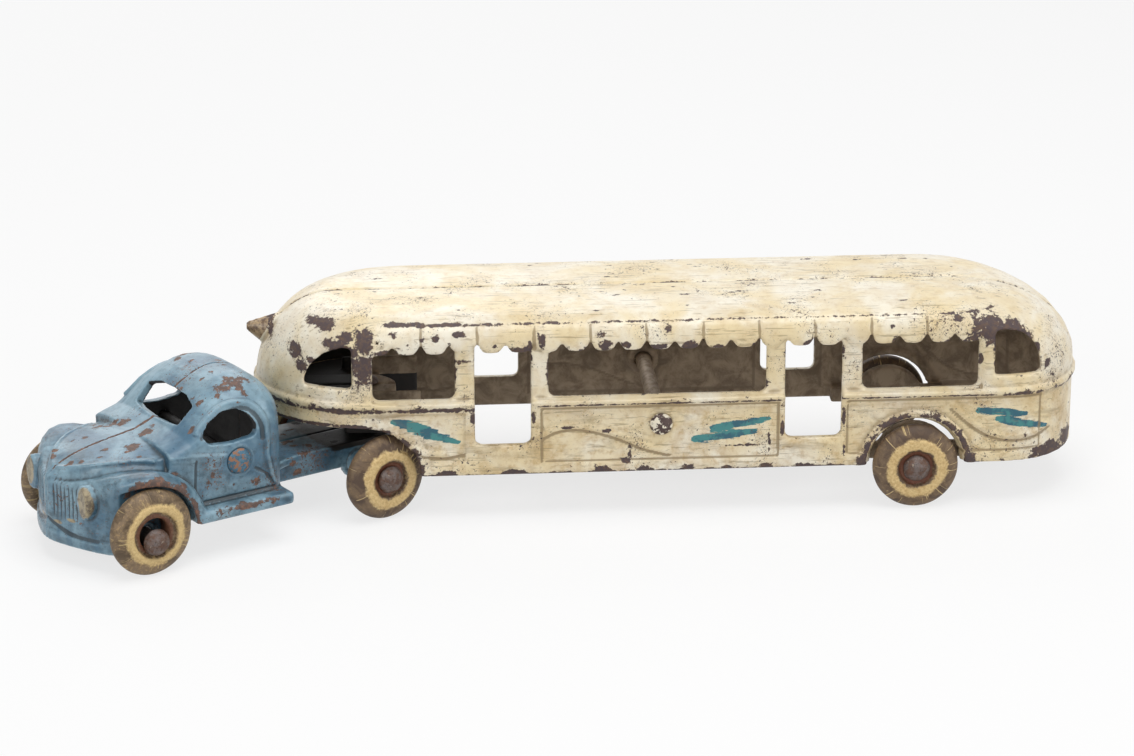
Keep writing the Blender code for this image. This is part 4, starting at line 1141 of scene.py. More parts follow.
WORN_RUBBER = RubberFinish(
    name="worn_rubber", clean=srgb("D8BE86"), yellow=srgb("BEA06C"), soil=srgb("826D54"),
    dark=srgb("54432F"), hub=srgb("6E3A26"), ring_inner=5.9, ring_outer=8.0, paleness=0.6,
    crack_share=0.5,
)
STEEL = PinFinish(
    name="rusty_steel", steel=srgb("6F6460"), rust=srgb("5E4436"), dark=srgb("3A322F"),
    trace=srgb("8B7D6C"), trace_level=0.66,
    rod=srgb("54493F"), rod_dark=srgb("342C28"),
)
CREAM_PIN = PinFinish(
    name="cream_pin", steel=srgb("5A4A46"), rust=srgb("4A3A36"), dark=srgb("352B2A"),
    trace=srgb("E8E0CC"), trace_level=0.5,
    rod=srgb("B3A28C"), rod_dark=srgb("8A7864"),
)
BLUE_PIN = PinFinish(
    name="blue_pin", steel=srgb("567D92"), rust=srgb("45677B"), dark=srgb("33505F"),
    trace=srgb("8F6850"), trace_level=0.5,
    rod=srgb("3C3A38"), rod_dark=srgb("262423"),
)


# Castings


@dataclass
class Casting(ABC):
    """One half of a casting, fused with its fine relief and softened."""

    name: str
    body: str
    side: Side
    place: Place
    slot: str
    finish: bpy.types.Material
    voxel: float
    rounds: int
    ridges: list[tuple[list[Point], float]] = field(default_factory=list)
    rims: list[tuple[list[Point], float]] = field(default_factory=list)
    marks: list[Mark] = field(default_factory=list)
    strokes: list[Mark] = field(default_factory=list)
    tans: list[Mark] = field(default_factory=list)
    # Creases: lines that are sunk a little and that the finish also darkens as painted shade.
    creases: list[Mark] = field(default_factory=list)
    crease_depth: float = 0.35
    sink: float = 0.12

    @abstractmethod
    def inner_share(self, coords: np.ndarray, normals: np.ndarray) -> np.ndarray:
        """Return how far each point belongs to the unpainted inside, from 0 to 1."""

    @abstractmethod
    def painted_shadow_share(self, coords: np.ndarray, inner: np.ndarray) -> np.ndarray:
        """Return how far the painted shadow covers each point, from 0 to 1."""

    @abstractmethod
    def add_relief(self) -> None:
        """Add the fine raised lines and the creases."""

    @abstractmethod
    def add_wear(self) -> None:
        """Place the bare spots and the stains."""

    def tan_share(self, coords: np.ndarray) -> np.ndarray:
        """Return how far a tan stain has replaced each point's paint, from 0 to 1."""
        return strongest(coords, self.tans)

    def add_webs(self, bm: bmesh.types.BMesh) -> None:
        """Add the thin plates that stiffen the casting out of sight, if it has any."""

    def mirrored(self, point: Point) -> Point:
        """Return a point of the right half on this half's own side."""
        return (point[0], point[1] * self.side.value, point[2])

    def add_ridges(self, bm: bmesh.types.BMesh) -> None:
        """Lay each ridge on the nearest surface, a little sunk, and each rim where it is.

        Args:
            bm: the copy of the solid.
        """
        tree = BVHTree.FromBMesh(bm)
        for points, radius in self.ridges:
            row = []
            for point in points:
                spot, normal, _, _ = tree.find_nearest(self.place.world(self.mirrored(point)))
                row.append(spot - normal * (self.sink * MM))
            add_tube(bm, row, radius)
        for points, radius in self.rims:
            add_tube(bm, [self.place.world(self.mirrored(p)) for p in points], radius)

    def closing(self, coords: np.ndarray, normals: np.ndarray) -> np.ndarray:
        """Find the shifts that bring the joint faces back to the centre plane.

        Args:
            coords: the points in the casting's frame.
            normals: their normals in the same frame.

        Returns:
            World vectors in metres, one for each point.
        """
        joint = np.abs(coords[:, 1]) < 0.5
        joint &= normals[:, 1] * self.side.value < -0.85
        across = (-math.sin(self.place.yaw), math.cos(self.place.yaw), 0.0)
        return np.outer(np.where(joint, -coords[:, 1], 0.0), across) * MM

    def build(self) -> None:
        """Make the piece, with what its finish reads, and place it."""
        self.add_relief()
        self.add_wear()
        node = f"{self.name}_{self.side.word}_half"
        bm = cad_copy(node)
        self.add_ridges(bm)
        self.add_webs(bm)
        mesh = cast_mesh(bm, node + "_casting", self.voxel, self.rounds)
        coords = self.place.local(read_coords(mesh))
        normals = self.place.unturned(read_normals(mesh))
        inner = relaxed(mesh, self.inner_share(coords, normals), 2).ravel()
        crease = self.crease_depth * strongest(coords, self.creases)
        moved = read_coords(mesh) - read_normals(mesh) * (crease * MM)[:, None]
        moved += self.closing(coords, normals)
        mesh.vertices.foreach_set("co", moved.ravel())
        mesh.update()
        # The creases also deepen the groove mask, which darkens them as painted shade.
        set_attribute(mesh, "bulge", bulge(mesh, 8) - 0.4 * crease)
        # A wide measure of how far each point lies in a hollow, which the finish uses for
        # painted shade.
        set_attribute(mesh, "hollow", bulge(mesh, 60))
        set_attribute(mesh, "spot", strongest(coords, self.marks))
        set_attribute(mesh, "stroke", strongest(coords, self.strokes))
        set_attribute(mesh, "tan", self.tan_share(coords))
        set_attribute(mesh, "inner", inner)
        set_attribute(mesh, "soot", self.painted_shadow_share(coords, inner))
        dress(mesh, node, self.body, self.finish)


@dataclass
class TrailerCasting(Casting):
    """Half of the cream body."""

    voxel: float = 0.56
    rounds: int = 3
    half_width: float = 27.2
    shoulder: float = 40.0
    roof: float = 53.0
    power: float = 4.8
    nose: Flat = (2.0, 30.0)
    nose_lean: Flat = (30.0, 20.0)
    tail: tuple[float, float, float] = (161.0, 22.0, 2.3)
    tail_lean: Flat = (34.0, 34.0)
    panel_y: float = 26.6
    panel_heights: Flat = (14.6, 28.8)
    panels: tuple[Flat, ...] = ((43.6, 103.7), (121.3, 171.0))
    openings: tuple[Flat, ...] = (
        (1.2, 21.8), (26.9, 40.9), (45.5, 100.5), (105.5, 119.7), (125.1, 154.5))
    sills: tuple[Flat, ...] = ((27.4, 40.5), (106.0, 119.2))
    sill_z: float = 17.7
    sill_line: float = 0.6
    roof_edge: Flat = (1.5, 157.0)
    roof_edge_z: float = 50.6
    roof_edge_line: float = 0.5
    arch: Flat = (139.0, 11.44)
    arch_radius: float = 13.35
    arch_y: float = 26.8
    arch_line: float = 1.0
    lining_share: float = 0.93
    lining_y: float = 24.7
    lining_line: float = 0.95
    hollow_drop: float = 1.1
    hollow_reach: Point = (0.7, 3.0, 0.42)
    panel_crease: float = 0.4
    flutes: int = 10
    flute_crease: float = 0.5
    flute_start: float = 13.4
    flute_pitch: float = 14.2
    flute_heights: Flat = (44.6, 50.2)
    lobe_start: float = 6.2
    lobe_pitch: float = 7.1
    lobe_step: float = 0.45
    lobe_y: float = 26.5
    lobe_z: float = 44.25
    lobe_depth: float = 2.7
    lobe_power: float = 3.2
    lobe_line: float = 0.6
    floor_middle: Point = (2.0, 0.0, 25.7)
    floor_reach: Point = (28.2, 25.6, 1.2)
    floor_end: float = 4.0
    plate_half: float = 7.5
    rib_middle: Point = (4.0, 13.6, 24.4)
    rib_size: Point = (19.6, 1.3, 11.4)
    stroke_rows: tuple[tuple[Flat, Flat, float], ...] = (
        ((6.5, 26.4), (17.0, 23.4), 1.5), ((10.5, 24.2), (22.5, 20.4), 1.5),
        ((82.5, 19.6), (98.0, 21.4), 1.5), ((87.0, 22.4), (101.5, 24.6), 1.3),
        ((155.0, 25.4), (167.0, 24.2), 1.4), ((160.0, 23.0), (172.5, 20.2), 1.4))

    def side_y(self, x: float) -> float:
        """Find the outer half width below the shoulder.

        Args:
            x: the place along the body.

        Returns:
            The half width.
        """
        start, length, power = self.tail
        if x <= start:
            return self.half_width
        share = min((x - start) / length, 1.0)
        return self.half_width * (1.0 - share**power) ** (1.0 / power)

    def surface_y(self, x: float, z: float) -> float:
        """Find the outer half width at any height.

        Args:
            x: the place along the body.
            z: the height above the ground.

        Returns:
            The half width, and 0 beyond the ends.
        """
        share = min(max(z - self.shoulder, 0.0) / (self.roof - self.shoulder), 0.99)
        limit = (1.0 - share**self.power) ** (1.0 / self.power)
        power = self.tail[2]
        ahead, behind = (float(v) for v in self.beyond(np.array(x), np.array(z)))
        if behind > 0.0:
            return self.half_width * max(limit**power - behind**power, 0.0) ** (1.0 / power)
        return self.half_width * math.sqrt(max(limit**2 - ahead**2, 0.0))

    def lean(self, z: np.ndarray, end: Flat) -> np.ndarray:
        """Find how far an end of the body has leaned inward.

        Args:
            z: heights above the ground.
            end: the height from which the end leans, and how far it does at the roof.

        Returns:
            The shift at each height.
        """
        start, reach = end
        share = np.clip((z - start) / (self.roof - start), 0.0, 0.999)
        return reach * (1.0 - np.sqrt(1.0 - share**2))

    def beyond(self, x: np.ndarray, z: np.ndarray) -> tuple[np.ndarray, np.ndarray]:
        """Find how far points reach into the round nose and the round tail.

        Args:
            x: places along the body.
            z: heights above the ground.

        Returns:
            The share of the nose's length and the share of the tail's, 0 between them.
        """
        nose, nose_length = self.nose
        tail, tail_length, _ = self.tail
        ahead = (nose + self.lean(z, self.nose_lean) - x) / nose_length
        behind = (x - tail + self.lean(z, self.tail_lean)) / tail_length
        return np.clip(ahead, 0.0, None), np.clip(behind, 0.0, None)

    def depth(self, coords: np.ndarray) -> np.ndarray:
        """Measure how near points are to the outer surface.

        Args:
            coords: one row for each point.

        Returns:
            1 on the surface, and less towards the middle.
        """
        power = self.tail[2]
        ahead, behind = self.beyond(coords[:, 0], coords[:, 2])
        across = np.abs(coords[:, 1]) / self.half_width
        rear = (behind**power + across**power) ** (1.0 / power)
        plan = np.where(behind > 0.0, rear, np.hypot(ahead, across))
        rise = (coords[:, 2] - self.shoulder) / (self.roof - self.shoulder)
        rise = np.clip(rise, 0.0, None)
        return (plan**self.power + rise**self.power) ** (1.0 / self.power)

    def inner_share(self, coords: np.ndarray, normals: np.ndarray) -> np.ndarray:
        """Tell the unpainted inside from the outside.

        Args:
            coords: the points.
            normals: the directions in which they face.

        Returns:
            1 for a point of the inside, and 0 outside.
        """
        here = self.depth(coords)
        step = 0.3
        outward = (self.depth(coords + step * normals) - here) / step * self.half_width
        facing = smooth((-outward - 0.25) / 0.35)
        return np.maximum(facing, smooth((0.885 - here) / 0.02))

    def tan_share(self, coords: np.ndarray) -> np.ndarray:
        """Return how far each point belongs to the stained lamp cover, from 0 to 1."""
        cover = smooth((self.depth(coords) - 1.02) / 0.03)
        return cover * smooth((-18.0 - coords[:, 0]) / 2.0) * smooth(coords[:, 2] - 33.0)

    def painted_shadow_share(self, coords: np.ndarray, inner: np.ndarray) -> np.ndarray:
        """Paint shadow, near black, on the inside of the nose and the space below it.

        Args:
            coords: the points.
            inner: how far each belongs to the inside.

        Returns:
            How far the painted shadow covers each point, from 0 to 1.
        """
        x, y, z = coords[:, 0], np.abs(coords[:, 1]), coords[:, 2]
        nose = smooth((1.0 - x) / 4.0)
        below = smooth((15.5 - x) / 1.5) * smooth((25.6 - z) / 0.5) * smooth((21.0 - y) / 1.5)
        return inner * np.maximum(nose, below)

    def add_relief(self) -> None:
        """Add the fine raised lines of the sides and the roof."""
        self.add_swept_lines()
        y, z = self.half_width - 0.2, self.sill_z
        for start, end in self.sills:
            self.ridges.append(([(start, y, z), (end, y, z)], self.sill_line))
        (start, end), z = self.roof_edge, self.roof_edge_z
        y = self.surface_y(80.0, z) - 0.1
        self.ridges.append(([(start, y, z), (end, y, z)], self.roof_edge_line))
        for start, end in self.openings:
            self.rims.append((self.scallops(start, end), self.lobe_line))
        arch = arc(self.arch, self.arch_radius, math.pi, 32)
        self.rims.append(([(x, self.arch_y, z) for x, z in arch], self.arch_line))
        share, y, (x0, z0) = self.lining_share, self.lining_y, self.arch
        lining = [(x0 + (x - x0) * share, y, z0 + (z - z0) * share) for x, z in arch]
        self.rims.append((lining, self.lining_line))
        low, high = self.panel_heights
        for start, end in self.panels:
            corners = ((start, low), (start, high), (end, high), (end, low))
            for a, b in zip(corners, (*corners[1:], corners[0])):
                self.creases.append(Brush(a, b, self.panel_crease))
        low, high = self.flute_heights
        for k in range(self.flutes):
            x = self.flute_start + self.flute_pitch * k
            self.creases.append(Brush((x, low), (x, high), self.flute_crease))

    def add_swept_lines(self) -> None:
        """Add the three raised swept lines of the lower panels, each with a sunk crease below it
        that is darkened as a painted shadow line.
        """
        rows: list[tuple[list[Flat], float]] = [
            ([(43.8, 21.6), (47.5, 23.4), (52.3, 23.9), (56.5, 23.2), (60.7, 22.0),
              (64.4, 20.5), (69.6, 18.2), (75.6, 16.6)], 0.8),
            ([(6.4, 23.6), (8.2, 20.9), (11.8, 18.6), (15.3, 17.5), (19.5, 17.2),
              (23.6, 18.0)], 0.75),
            ([(148.0, 26.9), (151.9, 23.2), (155.0, 20.8), (158.8, 18.9), (163.4, 18.0),
              (169.4, 18.6), (173.4, 20.4)], 0.75),
        ]
        for row, radius in rows:
            points = [(x, min(self.panel_y, self.side_y(x) - 0.25), z) for x, z in row]
            line = spline_points(points)
            self.ridges.append((line, radius))
            # A sunk crease just below each line, which the finish darkens as the painted shadow
            # under the ridge.
            for x, y, z in line:
                place = (x, y * self.side.value, z - self.hollow_drop)
                self.creases.append(Patch(place, self.hollow_reach))

    def scallops(self, start: float, end: float) -> list[Point]:
        """Draw the round lobes along the awning's lower edge over an opening.

        Args:
            start: the opening's front end.
            end: its rear end.

        Returns:
            A fine row of points.
        """
        points: list[Point] = []
        steps = int((end - start) / self.lobe_step)
        for k in range(steps + 1):
            x = start + (end - start) * k / steps
            turn = 2 * math.pi * (x - self.lobe_start) / self.lobe_pitch
            wave = (0.5 + 0.5 * math.cos(turn)) ** self.lobe_power
            points.append((x, self.lobe_y, self.lobe_z + self.lobe_depth * wave))
        return points

    def add_webs(self, bm: bmesh.types.BMesh) -> None:
        """Add the floor of the nose beside the hitch plate, and the rib behind it.

        Args:
            bm: the mesh that takes them.
        """
        side = self.side.value
        floor = bmesh.new()
        shape = Matrix.Translation(self.floor_middle)
        shape = shape @ Matrix.Diagonal((*self.floor_reach, 1.0))
        bmesh.ops.create_cone(floor, cap_ends=True, segments=72, radius1=1.0, radius2=1.0,
                              depth=1.0, matrix=shape)
        cut_away(floor, (self.floor_end, 0.0, 0.0), (1.0, 0.0, 0.0))
        cut_away(floor, (0.0, self.plate_half * side, 0.0), (0.0, -side, 0.0))
        join(bm, floor, self.place.matrix())
        rib = bmesh.new()
        shape = Matrix.Translation(self.mirrored(self.rib_middle))
        shape = shape @ Matrix.Diagonal((*self.rib_size, 1.0))
        bmesh.ops.create_cube(rib, size=1.0, matrix=shape)
        join(bm, rib, self.place.matrix())

    def add_wear(self) -> None:
        """Place the bare spots and, on the left, slanting pairs of brush strokes."""
        y = self.half_width * self.side.value
        rng = random.Random(11 + self.side.value)
        near_side = self.side is Side.LEFT
        for x, z, across, up in self.near_side_spots() if near_side else self.far_spots(rng):
            place_y = self.surface_y(x, z) * self.side.value
            self.marks.append(Patch((x, place_y, z), (across, 6.5, up)))
        self.marks += [
            Band(-30.0, 27.5, 29.2, 0.85, 0.88), Band(42.0, 104.5, 29.75, 0.3, 0.85),
            Band(119.5, 160.0, 29.75, 0.3, 0.85), Band(160.0, 186.0, 29.6, 0.6, 0.7),
            Band(-30.0, -1.0, 25.2, 0.6, 0.85), Band(0.0, 156.0, 11.5, 0.45, 0.5),
            Ring(self.arch, 14.3, 1.3, 26.4, 0.5), Ring(self.arch, 13.2, 0.5, 24.5, 0.75),
            Patch((-3.0, y, 24.9), (4.0, 7.0, 0.6), 0.9), Patch((3.5, y, 23.6), (3.4, 6.0, 0.8)),
            Patch((8.6, y, 20.6), (2.2, 6.0, 1.8)), Patch((11.6, y, 17.0), (1.5, 6.0, 2.6)),
            Patch((13.0, y, 13.0), (1.3, 6.0, 2.2)),
            # Painted shadow: a dark band of bare iron at the root of the lamp cover, where the
            # cover meets the nose.
            Patch((-23.7, 0.0, 42.0), (1.2, 6.4, 7.4), 1.1),
            Patch((-30.6, 0.0, 43.8), (0.9, 2.0, 2.0), 0.8),
            Seam(0.3, 30.0, 0.95), Band(4.0, 32.0, 50.7, 0.35, 0.8),
            Band(32.0, 160.0, 50.7, 0.3, 0.64),
        ]
        for _ in range(30):
            x = rng.uniform(-6.0, 168.0)
            across = rng.uniform(1.0, 22.0) * self.side.value
            reach = (rng.uniform(0.6, 2.6), rng.uniform(0.4, 0.9), 2.0)
            self.marks.append(Patch((x, across, 52.6), reach, 0.72))
        if near_side:
            self.strokes += [Brush(start, end, half) for start, end, half in self.stroke_rows]

    def far_spots(self, rng: random.Random) -> list[tuple[float, float, float, float]]:
        """Draw the bare spots of the right side.

        Args:
            rng: gives the random numbers.

        Returns:
            X, Z, and the reach along each.
        """
        spots = []
        for _ in range(60):
            x = rng.uniform(-16.0, 172.0)
            z = rng.choice((rng.uniform(46.0, 50.5), rng.uniform(11.6, 13.2),
                            rng.uniform(43.8, 45.4), rng.uniform(16.0, 30.0)))
            spots.append((x, z, rng.uniform(0.8, 3.6), rng.uniform(0.6, 2.2)))
        return spots

    def near_side_spots(self) -> list[tuple[float, float, float, float]]:
        """Return the bare spots of the left side: X, Z, and the reach along each."""
        return [
            (-0.9, 47.0, 2.9, 5.2), (-1.0, 40.6, 2.8, 6.4), (-3.0, 44.6, 3.2, 1.8),
            (-10.6, 49.6, 5.6, 1.7), (-8.2, 46.0, 3.8, 1.4), (-5.6, 47.6, 3.0, 1.8),
            (-6.0, 44.9, 4.6, 1.3), (-17.9, 42.7, 2.0, 2.4), (-16.5, 39.6, 2.2, 2.0),
            (-14.0, 41.5, 1.6, 1.0), (6.3, 48.9, 1.3, 1.0), (17.2, 48.0, 1.1, 1.1),
            (10.0, 46.6, 0.6, 0.6), (13.6, 47.7, 0.7, 0.6), (20.6, 46.4, 0.5, 0.6),
            (23.1, 48.7, 2.2, 0.8), (21.5, 50.8, 5.0, 0.5), (9.0, 51.0, 6.0, 0.5),
            (43.7, 46.7, 1.0, 2.4), (58.8, 48.2, 1.6, 1.8), (59.6, 45.4, 2.4, 1.9),
            (38.4, 44.9, 2.6, 0.8), (40.8, 45.4, 0.9, 1.6), (32.0, 45.8, 0.8, 0.5),
            (3.9, 44.7, 1.8, 0.8), (23.9, 41.6, 2.4, 0.9), (75.7, 49.0, 1.2, 1.2),
            (132.4, 48.3, 1.0, 0.7), (149.1, 49.8, 1.6, 1.0), (157.2, 47.6, 6.2, 4.8),
            (162.8, 46.4, 4.8, 3.0), (166.6, 43.8, 3.0, 2.8), (169.2, 40.6, 1.8, 2.6),
            (155.1, 39.3, 0.7, 1.6), (172.5, 36.9, 1.0, 1.8), (174.2, 33.4, 0.8, 1.0),
            (173.5, 13.4, 6.5, 2.2), (179.5, 14.0, 4.0, 3.6), (80.9, 45.3, 1.8, 1.2),
            (88.3, 44.4, 2.6, 0.7), (111.0, 44.6, 1.6, 0.7), (73.0, 44.6, 2.6, 0.8),
            (65.0, 45.4, 1.4, 1.0), (98.0, 44.5, 1.4, 0.7), (19.7, 12.0, 2.8, 1.1),
            (36.7, 12.1, 3.2, 0.9), (58.9, 12.4, 2.4, 1.0), (80.9, 12.1, 2.2, 1.2),
            (100.7, 12.0, 2.0, 0.9), (110.1, 12.0, 2.4, 0.8), (70.0, 12.0, 2.2, 0.9),
            (90.5, 12.0, 1.6, 0.6), (125.1, 12.6, 1.6, 1.6), (152.8, 12.3, 1.6, 1.4),
            (66.0, 16.5, 0.9, 2.8), (64.6, 14.6, 1.6, 0.8), (50.5, 23.6, 3.4, 0.5),
            (60.5, 22.6, 1.6, 0.5), (101.5, 18.6, 0.6, 4.0), (95.0, 17.6, 5.5, 0.5),
            (86.0, 16.6, 1.0, 0.5), (26.2, 27.0, 0.7, 1.8), (41.6, 26.6, 0.6, 2.0),
            (104.6, 23.0, 0.5, 2.6), (120.4, 24.0, 0.5, 2.2), (120.6, 16.5, 0.5, 2.6),
        ]


@dataclass
class TractorCasting(Casting):
    """Half of the blue tractor."""

    voxel: float = 0.34
    rounds: int = 1
    core: tuple[float, float, float] = (-74.0, -62.0, 12.0)
    cab_y: float = 20.0
    boss: Flat = (-48.9, 22.7)
    boss_radius: float = 3.9
    boss_line: float = 0.42
    window: Flat = (-51.0, 26.0)
    window_foot: float = 27.0
    window_share: float = 0.13
    door_crease: float = 0.42
    arch: Flat = (-76.3, 9.8)
    slots: int = 7
    slot_start: float = 2.6
    slot_pitch: float = 1.25

    def inner_share(self, coords: np.ndarray, normals: np.ndarray) -> np.ndarray:
        """Tell the unpainted inside from the outside.

        Args:
            coords: the points.
            normals: the directions in which they face.

        Returns:
            1 for a point that faces the middle of the cab, and 0 outside.
        """
        start, end, height = self.core
        x = coords[:, 0]
        away = np.stack([x - np.clip(x, start, end), coords[:, 1], coords[:, 2] - height],
                        axis=1)
        away /= np.maximum(np.linalg.norm(away, axis=1), 1e-6)[:, None]
        facing = np.sum(normals * away, axis=1)
        return smooth((-facing - 0.3) / 0.3) * smooth(-36.0 - x)

    def painted_shadow_share(self, coords: np.ndarray, inner: np.ndarray) -> np.ndarray:
        """Paint the shadow that the trailer's nose casts on the deck round the hitch.

        Args:
            coords: the points.
            inner: how far each belongs to the inside.

        Returns:
            How far the painted shadow covers each point, from 0 to 1.
        """
        x, y, z = coords[:, 0], np.abs(coords[:, 1]), coords[:, 2]
        deck = smooth((x + 22.0) / 7.0) * smooth((z - 14.5) / 1.5) * smooth((12.0 - y) / 1.5)
        return deck * (1.0 - inner)

    def add_relief(self) -> None:
        """Add the raised lines of the cab and the doors, and the creases between parts."""
        drip = [(-60.0, 18.1, 30.9), (-58.9, 17.6, 32.1), (-57.0, 17.3, 33.7),
                (-55.2, 17.1, 35.0), (-52.8, 16.9, 36.3), (-50.1, 17.1, 37.1),
                (-47.6, 17.7, 37.2), (-45.1, 18.3, 36.6), (-43.3, 18.9, 35.2),
                (-42.0, 19.4, 33.3), (-41.1, 19.7, 31.1), (-40.9, 19.8, 29.0),
                (-40.8, 19.9, 25.9), (-40.9, 19.9, 22.8), (-40.1, 19.9, 18.9),
                (-38.9, 19.6, 14.6)]
        upper = [(-68.0, 18.7, 26.6), (-65.7, 19.5, 26.6), (-62.6, 19.9, 26.4),
                 (-60.4, 20.0, 26.1), (-57.1, 20.0, 25.5), (-52.7, 20.0, 24.7)]
        lower = [(-67.3, 19.3, 25.9), (-64.3, 19.9, 25.4), (-61.0, 20.0, 25.1),
                 (-57.2, 20.0, 24.5), (-53.0, 20.0, 23.7)]
        hood = [(-89.6, 0.6, 23.6), (-87.8, 4.5, 24.4), (-85.2, 8.0, 25.2),
                (-81.8, 10.8, 25.9), (-78.5, 12.8, 26.3), (-74.1, 14.8, 26.3),
                (-70.5, 16.2, 25.8)]
        for row, radius in ((drip, 0.85), (upper, 0.55), (lower, 0.45), (hood, 0.6)):
            self.ridges.append((spline_points(row, 3), radius))
        boss = arc(self.boss, self.boss_radius, 2 * math.pi, 24)
        self.ridges.append(([(x, self.cab_y, z) for x, z in boss], self.boss_line))
        self.add_creases(drip)

    def add_creases(self, drip: list[Point]) -> None:
        """Add the creases inside the window's arch, of the door, the grille and the bumper,
        which the finish also darkens as painted shade.

        Args:
            drip: the arch's row of points.
        """
        side, share = self.side.value, self.window_share
        middle_x, middle_z = self.window
        for x, y, z in spline_points(drip, 4):
            place = (x + (middle_x - x) * share, y * side, z + (middle_z - z) * share)
            if z > self.window_foot:
                self.creases.append(Patch(place, (0.6, 2.5, 0.6)))
        rows = (((-61.0, 25.0), (-61.6, 15.4)), ((-44.4, 19.9), (-41.6, 18.0)),
                ((-41.6, 18.0), (-39.4, 14.8)), ((-59.0, 13.9), (-39.0, 13.9)))
        self.creases += [Brush(start, end, self.door_crease) for start, end in rows]
        for k in range(self.slots):
            place = (-90.5, (self.slot_start + self.slot_pitch * k) * side, 16.6)
            self.creases.append(Patch(place, (3.2, 0.34, 4.4)))
        bumper = [(-92.2, 0.7, 10.8), (-91.5, 2.8, 9.8), (-90.8, 5.7, 9.0),
                  (-90.0, 7.7, 8.4), (-89.6, 10.3, 8.1), (-88.4, 13.3, 8.0),
                  (-87.2, 15.6, 8.0)]
        for x, y, z in spline_points(bumper, 4):
            self.creases.append(Patch((x, y * side, z), (1.2, 0.9, 0.5)))

    def add_wear(self) -> None:
        """Place the bare spots and the stained lens."""
        side = self.side.value
        rng = random.Random(5 + side)
        spots = self.near_side_spots()
        if self.side is Side.RIGHT:
            spots = [(x + rng.uniform(-4, 4), y + rng.uniform(-1, 1), z, size)
                     for x, y, z, size in spots]
        for x, y, z, size in spots:
            reach = (size * rng.uniform(0.8, 1.5), size * rng.uniform(0.7, 1.2), size)
            self.marks.append(Patch((x, y * side, z), reach, 0.95))
        for _ in range(40):
            place = (rng.uniform(-90.0, -38.0), rng.uniform(2.0, 24.0) * side,
                     rng.uniform(9.0, 41.0))
            reach = (rng.uniform(0.6, 1.8), rng.uniform(0.6, 1.8), rng.uniform(0.6, 1.8))
            self.marks.append(Patch(place, reach, 0.75))
        lip = Ring(self.arch, 13.6, 1.0, 21.6, 0.85)
        board = Patch((-49.4, 24.4 * side, 12.2), (11.0, 1.2, 1.1), 0.85)
        seam = Patch((-65.0, 0.0, 30.0), (36.0, 0.5, 18.0), 1.2)
        self.marks += [lip, board, seam]
        self.tans += [
            Patch((-89.3, 14.4 * side, 18.4), (2.3, 3.1, 4.6), 1.1),
            Patch((-91.3, 3.7 * side, 10.6), (1.6, 2.4, 0.7), 0.8),
            Patch((-90.0, 8.2 * side, 12.0), (1.6, 2.4, 0.7), 0.8),
        ]

    def near_side_spots(self) -> list[tuple[float, float, float, float]]:
        """Return the bare spots of one side: X, Y, Z and the reach."""
        return [
            (-74.5, 9.5, 27.2, 1.5), (-81.3, 7.3, 26.4, 1.2), (-64.2, 3.6, 30.0, 1.4),
            (-78.1, 5.1, 27.1, 1.0), (-87.1, 3.3, 24.8, 1.3), (-85.0, 5.4, 25.5, 1.1),
            (-73.1, 13.0, 26.6, 1.0), (-48.1, 5.1, 41.2, 1.5), (-46.4, 10.8, 41.0, 1.6),
            (-46.0, 15.0, 39.6, 1.3), (-51.4, 14.5, 38.4, 1.2), (-45.1, 16.4, 38.8, 1.2),
            (-50.7, 5.5, 40.3, 1.0), (-55.2, 12.4, 37.0, 1.2), (-60.0, 16.1, 31.9, 1.2),
            (-42.7, 2.4, 41.5, 1.0), (-47.5, 13.0, 40.4, 3.0), (-43.5, 12.0, 41.0, 2.4),
            (-66.0, 4.6, 29.2, 2.4), (-72.5, 8.2, 27.8, 2.2), (-73.7, 23.9, 24.2, 1.7),
            (-66.9, 19.4, 22.9, 1.1),
            (-76.0, 24.2, 24.4, 1.0), (-66.4, 23.4, 21.0, 1.4), (-78.8, 23.3, 23.9, 1.1),
            (-80.6, 20.3, 20.5, 1.2), (-24.5, 1.5, 16.8, 2.2), (-25.5, 10.4, 16.6, 1.6),
            (-28.8, 11.0, 15.0, 1.5), (-27.2, 10.6, 12.2, 1.4), (-21.3, 6.9, 16.8, 1.4),
            (-24.7, 4.8, 16.8, 1.2), (-14.0, 8.0, 16.8, 1.6), (-6.0, 4.0, 16.8, 2.0),
            (-44.0, 20.0, 16.4, 1.3), (-56.5, 20.0, 20.5, 0.9), (-50.5, 20.0, 17.0, 0.8),
        ]


# Turned pieces


def turned(
    name: str, profile: list[Flat], segments: int, centre: Vector, axis: Vector
) -> bpy.types.Mesh:
    """Spin a profile about an axis.

    Args:
        name: the new mesh's name.
        profile: radius and height of each point, from one end to the other. A profile
            that starts off the axis is closed into a ring.
        segments: the number of steps round the axis.
        centre: where height 0 lies, in metres.
        axis: the direction in which height grows.

    Returns:
        The turned mesh, in place.
    """
    bm = bmesh.new()
    row = [bm.verts.new((r * MM, 0.0, h * MM)) for r, h in profile]
    edges = [bm.edges.new(pair) for pair in zip(row, row[1:])]
    if profile[0][0] > 0.0:
        edges.append(bm.edges.new((row[-1], row[0])))
    bmesh.ops.spin(bm, geom=row + edges, cent=(0, 0, 0), axis=(0, 0, 1), dvec=(0, 0, 0),
                   angle=2 * math.pi, steps=segments, use_merge=True, use_duplicate=False)
    bmesh.ops.remove_doubles(bm, verts=bm.verts, dist=1e-7)
    bmesh.ops.recalc_face_normals(bm, faces=bm.faces)
    turn = Vector((0, 0, 1)).rotation_difference(axis).to_matrix().to_4x4()
    bmesh.ops.transform(bm, matrix=Matrix.Translation(centre) @ turn, verts=bm.verts)
    mesh = bpy.data.meshes.new(name)
    bm.to_mesh(mesh)
    bm.free()
    return mesh


